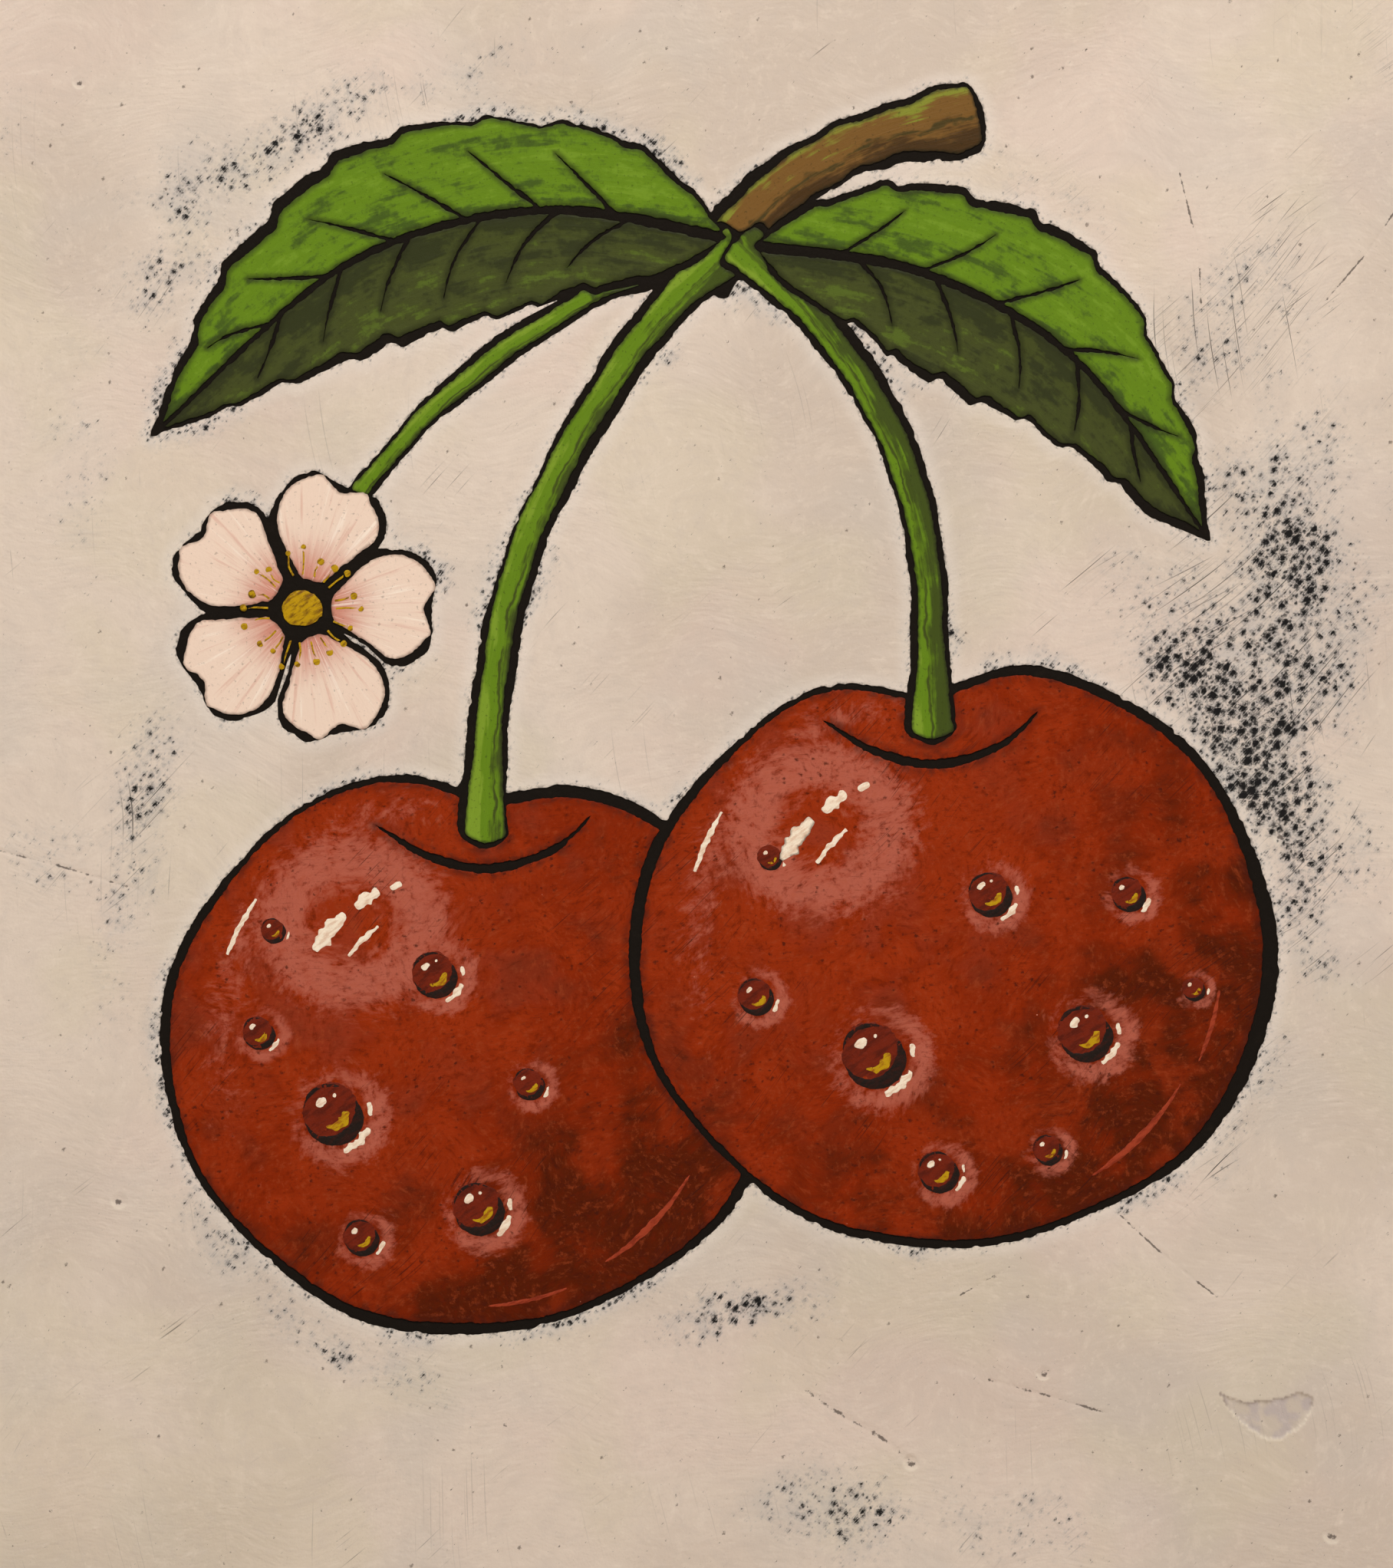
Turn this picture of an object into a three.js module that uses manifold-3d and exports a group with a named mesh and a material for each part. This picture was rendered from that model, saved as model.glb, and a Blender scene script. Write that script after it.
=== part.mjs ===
// A small hand-painted picture on a cradled wood panel.
//
// A thin face board is kept flat by four mitred battens behind it. Its face has a black ground coat.
// The colour coats lie on the ground and stop short of each other, so the ground left bare between
// them draws the black outlines. A sawtooth hanger is nailed to the top batten.
//
// Millimetres. X runs to the viewer's right, Y back into the wall and Z up. The origin is the root of
// the hanger's middle notch, where the wall nail bears.

import * as THREE from 'three';
import { mergeVertices } from 'three/addons/utils/BufferGeometryUtils.js';
import Module from 'manifold-3d';

const wasm = await Module();
wasm.setup();

// ---------------------------------------------------------------- driving dimensions

const PANEL_WIDTH = 203.2;
const PANEL_HEIGHT = 254;
const TOP_EDGE = 10.75; // the panel's top edge above the hanging point
const BOARD_THICKNESS = 3.25;
const BATTEN_WIDTH = 16;
const BATTEN_DEPTH = 19;
const MITRE_SETBACK = 0.15; // each mitred end stops this short, for the glue line
const GROUND_THICKNESS = 0.25;
const COAT_THICKNESS = 0.375;

const HANGER_LENGTH = 44;
const HANGER_HEIGHT = 9.5;
const HANGER_GAUGE = 0.75;
const HANGER_RISE = 1.125; // the toothed middle stands this far behind the tabs
const HANGER_BEND = 13; // half the distance between the bends at the tabs
const HANGER_RAMP = 2.5;
const HANGER_BEND_LAG = 0.3; // the strip's front turns this much further out at each bend
const TOOTH_DEPTH = 2;
const TOOTH_PITCH = 3;
const TEETH_EACH_SIDE = 3;
const TAB_HOLE_X = 18;
const TAB_HOLE_RADIUS = 0.9;
const TAB_CORNER = 3;
const NAIL_HEAD_RADIUS = 1.7;
const NAIL_HEAD_HEIGHT = 0.6;
const NAIL_SHANK_RADIUS = 0.7;
const NAIL_LENGTH = 10.75;
const NAIL_POINT = 1.5;
const NAIL_HEAD_CROWN = 0.6; // the share of the head's radius and height where its dome begins
const PILOT_RADIUS = 0.8;
const PILOT_DEPTH = 10.25;

const ROUND_SIDES = 16; // sides of the nails and their holes

const LINE_WIDTH = 1.7; // the usual width of a black outline
const LINE_SWELL = 0.65; // the share by which it thickens and thins along its way
const SMALLEST_PATCH = 3; // square millimetres: smaller scraps of paint are left out
const CLOSEST_POINTS = 0.05;

// The layers' planes, from the wall side to the front.
const BATTEN_BACK = -1.5;
const BATTEN_FRONT = BATTEN_BACK - BATTEN_DEPTH;
const BOARD_FRONT = BATTEN_FRONT - BOARD_THICKNESS;
const GROUND_FRONT = BOARD_FRONT - GROUND_THICKNESS;
const COAT_FRONT = GROUND_FRONT - COAT_THICKNESS;
const BOTTOM_EDGE = TOP_EDGE - PANEL_HEIGHT;
const PICTURE_CENTRE = (TOP_EDGE + BOTTOM_EDGE) / 2;
const HALF_WIDTH = PANEL_WIDTH / 2;

// ---------------------------------------------------------------- materials

const finish = (color, roughness, metalness = 0) =>
  new THREE.MeshStandardMaterial({ color, roughness, metalness });

const FINISHES = {
  pine: finish('#c9a878', 0.75),
  board: finish('#b98f62', 0.7),
  zinc: finish('#a9a79f', 0.4, 1),
  ground: finish('#1c1610', 0.55),
  cream: finish('#d9c6ae', 0.55),
  red: finish('#8c2f10', 0.42),
  brightGreen: finish('#6c8a24', 0.5),
  olive: finish('#4e4d28', 0.5),
  bark: finish('#6b5128', 0.55),
  petal: finish('#e6c7b4', 0.5),
  ochre: finish('#b08a18', 0.5),
};

const panel = new THREE.Group();

function addPiece(name, geometry, material) {
  const mesh = new THREE.Mesh(geometry, material);
  mesh.name = name;
  panel.add(mesh);
}

// ---------------------------------------------------------------- solids

function solidOf(geometry) {
  const bare = geometry.index ? geometry.toNonIndexed() : geometry.clone();
  bare.deleteAttribute('normal');
  bare.deleteAttribute('uv');
  const merged = mergeVertices(bare);
  const vertProperties = new Float32Array(merged.attributes.position.array);
  const triVerts = new Uint32Array(merged.index.array);
  return new wasm.Manifold(new wasm.Mesh({ numProp: 3, vertProperties, triVerts }));
}

function geometryOf(solid) {
  const mesh = solid.getMesh();
  const geometry = new THREE.BufferGeometry();
  geometry.setAttribute('position', new THREE.BufferAttribute(mesh.vertProperties.slice(), 3));
  geometry.setIndex(new THREE.BufferAttribute(mesh.triVerts.slice(), 1));
  geometry.computeVertexNormals();
  return geometry;
}

// A shape drawn in X and Z, made solid between two planes of Y.
function slab(shape, front, back) {
  const geometry = new THREE.ExtrudeGeometry(
    shape, { depth: back - front, bevelEnabled: false, curveSegments: 5 });
  geometry.rotateX(Math.PI / 2);
  geometry.translate(0, back, 0);
  return geometry;
}

function rectangle(left, right, bottom, top) {
  return new THREE.Shape([
    new THREE.Vector2(left, bottom),
    new THREE.Vector2(right, bottom),
    new THREE.Vector2(right, top),
    new THREE.Vector2(left, top),
  ]);
}

// ---------------------------------------------------------------- board, battens and hanger

function mitredBatten(side) {
  const across = side === 'top' || side === 'bottom';
  const halfOuter = (across ? PANEL_WIDTH : PANEL_HEIGHT) / 2 - MITRE_SETBACK;
  const edge = (across ? PANEL_HEIGHT : PANEL_WIDTH) / 2;
  const sign = side === 'top' || side === 'right' ? 1 : -1;
  const corners = [
    [-halfOuter, sign * edge],
    [halfOuter, sign * edge],
    [halfOuter - BATTEN_WIDTH, sign * (edge - BATTEN_WIDTH)],
    [-halfOuter + BATTEN_WIDTH, sign * (edge - BATTEN_WIDTH)],
  ];
  const points = corners.map(([along, out]) => (across
    ? new THREE.Vector2(along, PICTURE_CENTRE + out)
    : new THREE.Vector2(out, PICTURE_CENTRE + along)));
  return slab(new THREE.Shape(points), BATTEN_FRONT, BATTEN_BACK);
}

function cylinderAlongY(radius, front, back, x, z) {
  const geometry = new THREE.CylinderGeometry(radius, radius, back - front, ROUND_SIDES);
  geometry.translate(x, (front + back) / 2, z);
  return solidOf(geometry);
}

const HANGER_TOP = HANGER_HEIGHT - TOOTH_DEPTH;
const TAB_HOLE_Z = HANGER_TOP / 2;

function topBatten() {
  let batten = solidOf(mitredBatten('top'));
  for (const x of [-TAB_HOLE_X, TAB_HOLE_X]) {
    const hole = cylinderAlongY(
      PILOT_RADIUS, BATTEN_BACK - PILOT_DEPTH, BATTEN_BACK + 1, x, TAB_HOLE_Z);
    batten = batten.subtract(hole);
  }
  return geometryOf(batten);
}

// The strip's bent section in X and Y, drawn along its back and returned along its front.
function hangerSection() {
  const half = HANGER_LENGTH / 2;
  const tabBack = BATTEN_BACK + HANGER_GAUGE;
  const top = HANGER_BEND - HANGER_RAMP;
  const back = [
    [-half, tabBack],
    [-HANGER_BEND, tabBack],
    [-top, tabBack + HANGER_RISE],
    [top, tabBack + HANGER_RISE],
    [HANGER_BEND, tabBack],
    [half, tabBack],
  ];
  const front = back.map(([x, y]) => {
    const lag = Math.abs(x) < half ? HANGER_BEND_LAG * Math.sign(x) : 0;
    return [x + lag, y - HANGER_GAUGE];
  });
  const outline = [...front, ...back.reverse()];
  return new THREE.Shape(outline.map(([x, y]) => new THREE.Vector2(x, y)));
}

// The strip's front outline in X and Z: round-cornered tabs, and a lower edge cut into teeth.
function hangerOutline() {
  const half = HANGER_LENGTH / 2;
  const shape = new THREE.Shape();
  shape.moveTo(-half, -TOOTH_DEPTH + TAB_CORNER);
  shape.absarc(-half + TAB_CORNER, -TOOTH_DEPTH + TAB_CORNER, TAB_CORNER, Math.PI, 1.5 * Math.PI);
  for (let tooth = -TEETH_EACH_SIDE; tooth <= TEETH_EACH_SIDE; tooth += 1) {
    shape.lineTo((tooth - 0.5) * TOOTH_PITCH, -TOOTH_DEPTH);
    shape.lineTo(tooth * TOOTH_PITCH, 0);
  }
  shape.lineTo((TEETH_EACH_SIDE + 0.5) * TOOTH_PITCH, -TOOTH_DEPTH);
  shape.absarc(
    half - TAB_CORNER, -TOOTH_DEPTH + TAB_CORNER, TAB_CORNER, 1.5 * Math.PI, 2 * Math.PI);
  shape.absarc(half - TAB_CORNER, HANGER_TOP - TAB_CORNER, TAB_CORNER, 0, 0.5 * Math.PI);
  shape.absarc(-half + TAB_CORNER, HANGER_TOP - TAB_CORNER, TAB_CORNER, 0.5 * Math.PI, Math.PI);
  return shape;
}

function hangerPlate() {
  const section = hangerSection();
  const strip = new THREE.ExtrudeGeometry(section, { depth: HANGER_HEIGHT, bevelEnabled: false });
  strip.translate(0, 0, -TOOTH_DEPTH);
  const front = BATTEN_BACK - 1;
  const back = BATTEN_BACK + HANGER_GAUGE + HANGER_RISE + 1;
  let plate = solidOf(strip).intersect(solidOf(slab(hangerOutline(), front, back)));
  for (const x of [-TAB_HOLE_X, TAB_HOLE_X]) {
    plate = plate.subtract(cylinderAlongY(TAB_HOLE_RADIUS, front, back, x, TAB_HOLE_Z));
  }
  return geometryOf(plate);
}

function hangerNail(x) {
  const seat = BATTEN_BACK + HANGER_GAUGE;
  const tip = seat - NAIL_LENGTH;
  const profile = [
    [0, tip],
    [NAIL_SHANK_RADIUS, tip + NAIL_POINT],
    [NAIL_SHANK_RADIUS, seat],
    [NAIL_HEAD_RADIUS, seat],
    [NAIL_HEAD_RADIUS, seat + NAIL_HEAD_HEIGHT * NAIL_HEAD_CROWN],
    [NAIL_HEAD_RADIUS * NAIL_HEAD_CROWN, seat + NAIL_HEAD_HEIGHT],
    [0, seat + NAIL_HEAD_HEIGHT],
  ];
  const geometry = new THREE.LatheGeometry(
    profile.map(([r, y]) => new THREE.Vector2(r, y)), ROUND_SIDES);
  geometry.translate(x, 0, TAB_HOLE_Z);
  return geometryOf(solidOf(geometry));
}

// ---------------------------------------------------------------- drawing the figure

// Everything in the picture is drawn in millimetres from the panel's centre. Each motif is a function
// of `grow`: at 0 it outlines the paint, and at its line's width what that black line covers too.

function seededRandom(seed) {
  let state = seed;
  return () => {
    state = (state * 1664525 + 1013904223) % 4294967296;
    return state / 4294967296;
  };
}

// The waver of a hand-drawn line: a few sine waves that close on themselves after `turn` runs 0 to 1.
function waver(seed, size, waves = [2, 3, 5, 9]) {
  const random = seededRandom(seed);
  const terms = waves.map((wave) => ({ wave, phase: 2 * Math.PI * random(), share: 0.5 + random() }));
  return (turn) => {
    const total = terms.reduce(
      (sum, { wave, phase, share }) => sum + share * Math.sin(2 * Math.PI * wave * turn + phase), 0);
    return (size * total) / terms.length;
  };
}

// The black line is thicker in some places than in others.
function lineAt(seed) {
  const swell = waver(seed, 1, [1, 2, 4]);
  return (grow, turn) => grow * (1 + LINE_SWELL * swell(turn));
}

function shapeThrough(points) {
  const kept = [];
  for (const [u, v] of points) {
    const point = new THREE.Vector2(u, PICTURE_CENTRE + v);
    const last = kept[kept.length - 1];
    if (!last || last.distanceTo(point) > CLOSEST_POINTS) {
      kept.push(point);
    }
  }
  if (kept[0].distanceTo(kept[kept.length - 1]) <= CLOSEST_POINTS) {
    kept.pop();
  }
  return new THREE.Shape(kept);
}

// A shape that follows a curve. left(t) and right(t) are its widths to each side of the curve, and
// start and end are how far it runs on past the curve's ends.
function ribbon(through, left, right, { steps = 30, start = 0, end = 0 } = {}) {
  const curve = new THREE.SplineCurve(through.map(([u, v]) => new THREE.Vector2(u, v)));
  const leftEdge = [];
  const rightEdge = [];
  for (let step = 0; step <= steps; step += 1) {
    const t = step / steps;
    const point = curve.getPointAt(t);
    const along = curve.getTangentAt(t);
    leftEdge.push([point.x - along.y * left(t), point.y + along.x * left(t)]);
    rightEdge.push([point.x + along.y * right(t), point.y - along.x * right(t)]);
  }
  const pastEnd = (t, distance) => {
    const point = curve.getPointAt(t).addScaledVector(curve.getTangentAt(t), distance);
    return distance === 0 ? [] : [[point.x, point.y]];
  };
  return shapeThrough([
    ...pastEnd(0, -start),
    ...leftEdge,
    ...pastEnd(1, end),
    ...rightEdge.reverse(),
  ]);
}

// A hump of height 1 at t = middle that dies away over `spread`.
const hump = (t, middle, spread) => Math.exp(-(((t - middle) / spread) ** 2));

// ---------------------------------------------------------------- cherries

const CHERRIES = [
  { name: 'cherry_left', u: -31, v: -36, radius: 39.5, dentAngle: 1.50, seed: 11 },
  { name: 'cherry_right', u: 35, v: -23, radius: 41, dentAngle: 1.66, seed: 23 },
];
const CHERRY_POINTS = 132;
const CHERRY_WAVER = 0.7;
const CHERRY_LINE = 0.8 * LINE_WIDTH;
const DENT_DEPTH = 5;
const DENT_SPREAD = 0.25; // radians
const SHOULDER = 0.035; // the share by which the fruit is wider than it is tall
const STEM_SEAT_DEPTH = 4; // below the dent's rim
const CREASE_HALF_WIDTH = 0.67;

function cherryEdge(cherry, angle) {
  const turned = angle - cherry.dentAngle;
  const fromDent = Math.atan2(Math.sin(turned), Math.cos(turned));
  const dent = DENT_DEPTH * hump(fromDent, 0, DENT_SPREAD);
  const shoulders = -cherry.radius * SHOULDER * Math.cos(2 * turned);
  const hand = waver(cherry.seed, CHERRY_WAVER)(angle / (2 * Math.PI));
  return cherry.radius + shoulders - dent + hand;
}

function cherryShape(cherry, grow) {
  const line = lineAt(cherry.seed + 1);
  const points = [];
  for (let i = 0; i < CHERRY_POINTS; i += 1) {
    const angle = (2 * Math.PI * i) / CHERRY_POINTS;
    const reach = cherryEdge(cherry, angle) + line(grow, i / CHERRY_POINTS);
    points.push([cherry.u + reach * Math.cos(angle), cherry.v + reach * Math.sin(angle)]);
  }
  return shapeThrough(points);
}

// Where the stem is set in the fruit, a little below the dent's rim.
function stemSeat(cherry) {
  const reach = cherryEdge(cherry, cherry.dentAngle) - STEM_SEAT_DEPTH;
  return [
    cherry.u + reach * Math.cos(cherry.dentAngle),
    cherry.v + reach * Math.sin(cherry.dentAngle),
  ];
}

// The fold of skin under the stem, a tapered line sagging between the shoulders.
function creaseShape(cherry) {
  const [u, v] = stemSeat(cherry);
  const through = [
    [u - 15, v + 1.5],
    [u - 8, v - 2.8],
    [u + 0.5, v - 4.6],
    [u + 9, v - 2.2],
    [u + 14.5, v + 2.5],
  ];
  const width = (t) => CREASE_HALF_WIDTH * (0.2 + 0.8 * Math.sin(Math.PI * t));
  return ribbon(through, width, width, { steps: 16 });
}

// ---------------------------------------------------------------- stems and twig

const NODE = [6, 74]; // where the stems, the leaves and the twig meet

const STEMS = [
  {
    name: 'stem_left',
    through: [NODE, [-5, 64], [-19, 43], [-27, 20], stemSeat(CHERRIES[0])],
    seed: 31,
  },
  {
    name: 'stem_right',
    through: [NODE, [17, 63], [27, 47], [31.5, 30], stemSeat(CHERRIES[1])],
    seed: 37,
  },
];
const STEM_HALF_WIDTH = 1.75;
const STEM_WAVER = 0.28;
const STEM_LINE = 0.6 * LINE_WIDTH;
const STEM_FOOT_FLARE = 0.9; // wider where it leaves the fruit
const STEM_HEAD_FLARE = 1.1; // and where it leaves the twig

// The two edges of a drawn stroke, which waver and thicken apart from each other. middle(t) is its
// half width.
function strokeShape(stroke, middle, grow, { waver: size, waves, steps, start, end }) {
  const hand = waver(stroke.seed, size, waves);
  const line = lineAt(stroke.seed + 1);
  const edge = (shift) => (t) => middle(t) + hand(t + shift) + line(grow, (t + shift) / 2);
  return ribbon(stroke.through, edge(0), edge(0.5), { steps, start: start + grow, end: end + 0.8 * grow });
}

function stemShape(stem, grow) {
  const middle = (t) =>
    STEM_HALF_WIDTH + STEM_FOOT_FLARE * hump(t, 1, 0.1) + STEM_HEAD_FLARE * hump(t, 0, 0.12);
  return strokeShape(stem, middle, grow, {
    waver: STEM_WAVER, waves: [2, 3, 7], steps: 46, start: 0.6, end: 1.1,
  });
}

const TWIG = { through: [[1, 69], [9, 79], [22, 87.5], [38, 91.5]], seed: 43 };
const TWIG_HALF_WIDTH = 3.1;
const TWIG_WAVER = 0.4;
const TWIG_KNUCKLE = 1.3; // wider just before the cut end
const TWIG_LINE = 0.65 * LINE_WIDTH;

function twigShape(grow) {
  const middle = (t) => TWIG_HALF_WIDTH + TWIG_KNUCKLE * hump(t, 0.93, 0.09);
  return strokeShape(TWIG, middle, grow, {
    waver: TWIG_WAVER, waves: [2, 5, 7], steps: 26, start: 1, end: 0.5,
  });
}

// ---------------------------------------------------------------- leaves

const LEAVES = [
  {
    name: 'leaf_left',
    through: [[3, 75], [-22, 78.5], [-48, 71], [-73, 49]],
    halfWidth: 12.5,
    teeth: 10,
    veins: 6,
    seed: 53,
  },
  {
    name: 'leaf_right',
    through: [[9, 73.5], [31, 70], [52, 58], [69, 35]],
    halfWidth: 11.5,
    teeth: 9,
    veins: 5,
    seed: 61,
  },
];
const LEAF_STEPS = 54;
const LEAF_WAVER = 0.5;
const LEAF_LINE = 0.6 * LINE_WIDTH;
const LEAF_TIP_LINE = 2.2; // the black line runs on this many widths past the tip
const MIDRIB_HALF_GAP = 0.8; // at the leaf's foot, narrowing to a third at its tip
const SAW_HEIGHT = 1.15;
const VEIN_FIRST = 0.14; // the first and last veins' roots, as shares of the leaf's length
const VEIN_LAST = 0.74;
const VEIN_LEAN = 0.1;
const VEIN_REACH = 0.72;
const VEIN_HALF_WIDTH = 0.34;

// The leaf's width to one side: pointed at both ends, fullest before the middle, with saw teeth.
function leafWidth(leaf, side) {
  const hand = waver(leaf.seed + side, LEAF_WAVER, [2, 3, 5]);
  return (t) => {
    const swell = Math.sin(Math.PI * t ** 0.8) ** 0.85;
    const sawtooth = (t * leaf.teeth + 0.37 * side) % 1;
    const tooth = SAW_HEIGHT * sawtooth * Math.min(1, 5 * t, 6 * (1 - t));
    return Math.max(0, leaf.halfWidth * swell + (tooth + hand(t)) * Math.min(1, 4 * swell));
  };
}

function leafShape(leaf, grow) {
  const line = lineAt(leaf.seed + 5);
  const left = leafWidth(leaf, 0);
  const right = leafWidth(leaf, 1);
  return ribbon(
    leaf.through,
    (t) => left(t) + line(grow, t / 2),
    (t) => right(t) + line(grow, (t + 1) / 2),
    { steps: LEAF_STEPS, start: grow, end: LEAF_TIP_LINE * grow });
}

// Half a leaf, from the midrib's line to the edge. Side 0 is the left one as the leaf runs, 1 the right.
function leafHalfShape(leaf, side) {
  const width = leafWidth(leaf, side);
  const gap = (t) => -MIDRIB_HALF_GAP * (1 - (2 / 3) * t);
  const outer = (t) => Math.max(width(t), -gap(t) + CLOSEST_POINTS);
  return side === 0
    ? ribbon(leaf.through, outer, gap, { steps: LEAF_STEPS })
    : ribbon(leaf.through, gap, outer, { steps: LEAF_STEPS });
}

// The half of a leaf that faces up: the left one where it grows to the right, else the right one.
function leafSideAbove(leaf) {
  return leaf.through[0][0] < leaf.through[leaf.through.length - 1][0] ? 0 : 1;
}

// The side veins of one half, as tapered grooves that open from the midrib and stop before the edge.
function veinShapes(leaf, side) {
  const curve = new THREE.SplineCurve(leaf.through.map(([u, v]) => new THREE.Vector2(u, v)));
  const width = leafWidth(leaf, side);
  const facing = side === 0 ? 1 : -1;
  const shapes = [];
  for (let vein = 0; vein < leaf.veins; vein += 1) {
    const root = VEIN_FIRST + ((VEIN_LAST - VEIN_FIRST) * (vein + 0.2 * side)) / (leaf.veins - 1);
    const through = [0, 0.5, 1].map((share) => {
      const t = Math.min(1, root + VEIN_LEAN * share ** 0.8);
      const along = curve.getTangentAt(t);
      const across = new THREE.Vector2(-along.y, along.x).multiplyScalar(facing);
      const point = curve.getPointAt(t).addScaledVector(across, VEIN_REACH * share * width(t));
      return [point.x, point.y];
    });
    const thickness = (s) => VEIN_HALF_WIDTH * (1 - 0.75 * s);
    shapes.push(ribbon(through, thickness, thickness, { steps: 4 }));
  }
  return shapes;
}

// ---------------------------------------------------------------- blossom

const BLOSSOM = { u: -54, v: 24, petals: 5, firstAngle: 1.25, inner: 4.3, outer: 18, seed: 71 };
const PETAL_HALF_WIDTH = 7;
const PETAL_WAVER = 0.3;
const PETAL_NOTCH = 1.3;
const PETAL_LINE = 0.65 * LINE_WIDTH;
const HEART_RADIUS = 2.6;
const HEART_WAVER = 0.25;
const HEART_LINE = 1.6 * LINE_WIDTH;
const HEART_POINTS = 18;

function petalShape(index, grow) {
  const angle = BLOSSOM.firstAngle + (2 * Math.PI * index) / BLOSSOM.petals;
  const seed = BLOSSOM.seed + 3 * index;
  const hand = waver(seed, PETAL_WAVER, [1, 2, 3]);
  const line = lineAt(seed + 1);
  const at = (reach, swing) => [
    BLOSSOM.u + reach * Math.cos(angle + swing),
    BLOSSOM.v + reach * Math.sin(angle + swing),
  ];
  const halfway = (BLOSSOM.inner + BLOSSOM.outer) / 2;
  const through = [at(BLOSSOM.inner, 0), at(halfway, 0.05), at(BLOSSOM.outer, 0)];
  const swell = (t) => Math.sin(Math.PI * (0.12 + 0.8 * t) ** 1.45) ** 0.75;
  const width = (shift) => (t) =>
    (PETAL_HALF_WIDTH + hand(t / 2 + shift)) * swell(t) + line(grow, t / 2 + shift);
  return ribbon(through, width(0), width(0.5), {
    steps: 16,
    start: 0.4 * grow,
    end: grow - PETAL_NOTCH,
  });
}

function heartShape(grow) {
  const hand = waver(BLOSSOM.seed, HEART_WAVER, [2, 3]);
  const points = [];
  for (let i = 0; i < HEART_POINTS; i += 1) {
    const angle = (2 * Math.PI * i) / HEART_POINTS;
    const reach = HEART_RADIUS + hand(i / HEART_POINTS) + grow;
    points.push([BLOSSOM.u + reach * Math.cos(angle), BLOSSOM.v + reach * Math.sin(angle)]);
  }
  return shapeThrough(points);
}

const STALK = { through: [[2, 72], [-14, 67], [-33, 54], [-46, 40], [-52, 28]], seed: 83 };
const STALK_HALF_WIDTH = 1.15;
const STALK_WAVER = 0.2;
const STALK_LINE = 0.5 * LINE_WIDTH;

function stalkShape(grow) {
  return strokeShape(STALK, () => STALK_HALF_WIDTH, grow, {
    waver: STALK_WAVER, waves: [2, 5], steps: 34, start: 0.1, end: 0.1,
  });
}

// ---------------------------------------------------------------- laying the paint

const face = rectangle(-HALF_WIDTH, HALF_WIDTH, BOTTOM_EDGE, TOP_EDGE);
const CUT_FRONT = COAT_FRONT - 1;
const CUT_BACK = GROUND_FRONT + GROUND_THICKNESS / 2;

const coatOf = (shape) => solidOf(slab(shape, COAT_FRONT, GROUND_FRONT));
const cutterOf = (shape) => solidOf(slab(shape, CUT_FRONT, CUT_BACK));

// The motifs from back to front. Each lists its coats of paint, and the cutter that clears its own
// paint and its black line out of whatever lies behind it.
const MOTIFS = [
  {
    coats: [['twig', twigShape(0), [], FINISHES.bark]],
    clears: [twigShape(TWIG_LINE)],
  },
  ...CHERRIES.map((cherry) => ({
    coats: [[cherry.name, cherryShape(cherry, 0), [creaseShape(cherry)], FINISHES.red]],
    clears: [cherryShape(cherry, CHERRY_LINE)],
  })),
  {
    coats: [['blossom_stalk', stalkShape(0), [], FINISHES.brightGreen]],
    clears: [stalkShape(STALK_LINE)],
  },
  ...STEMS.map((stem) => ({
    coats: [[stem.name, stemShape(stem, 0), [], FINISHES.brightGreen]],
    clears: [stemShape(stem, STEM_LINE)],
  })),
  ...LEAVES.map((leaf) => ({
    coats: [0, 1].map((side) => {
      const above = side === leafSideAbove(leaf);
      return [
        `${leaf.name}_${above ? 'upper' : 'lower'}`,
        leafHalfShape(leaf, side),
        veinShapes(leaf, side),
        above ? FINISHES.brightGreen : FINISHES.olive,
      ];
    }),
    clears: [leafShape(leaf, LEAF_LINE)],
  })),
  {
    coats: [
      ...Array.from({ length: BLOSSOM.petals }, (_, index) => (
        [`petal_${index + 1}`, petalShape(index, 0), [], FINISHES.petal])),
      ['blossom_heart', heartShape(0), [], FINISHES.ochre],
    ],
    clears: [
      ...Array.from({ length: BLOSSOM.petals }, (_, index) => petalShape(index, PETAL_LINE)),
      heartShape(HEART_LINE),
    ],
  },
];

// Cutting can leave a coat in several patches. Each is a piece of its own, the largest one first.
function addPatches(name, solid, material) {
  const patches = solid.decompose()
    .map((patch) => ({ patch, area: patch.volume() / COAT_THICKNESS }))
    .filter(({ area }) => area > SMALLEST_PATCH)
    .sort((a, b) => b.area - a.area);
  patches.forEach(({ patch }, index) => {
    addPiece(index === 0 ? name : `${name}_patch_${index + 1}`, geometryOf(patch), material);
  });
}

function layPaint() {
  const cleared = MOTIFS.map((motif) => motif.clears.map(cutterOf));
  MOTIFS.forEach((motif, order) => {
    for (const [name, shape, grooves, material] of motif.coats) {
      let coat = coatOf(shape);
      for (const groove of grooves) {
        coat = coat.subtract(cutterOf(groove));
      }
      for (const cutter of cleared.slice(order + 1).flat()) {
        coat = coat.subtract(cutter);
      }
      addPatches(name, coat, material);
    }
  });
  let field = coatOf(face);
  for (const cutter of cleared.flat()) {
    field = field.subtract(cutter);
  }
  addPatches('cream_coat', field, FINISHES.cream);
}

// ---------------------------------------------------------------- assembly

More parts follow.
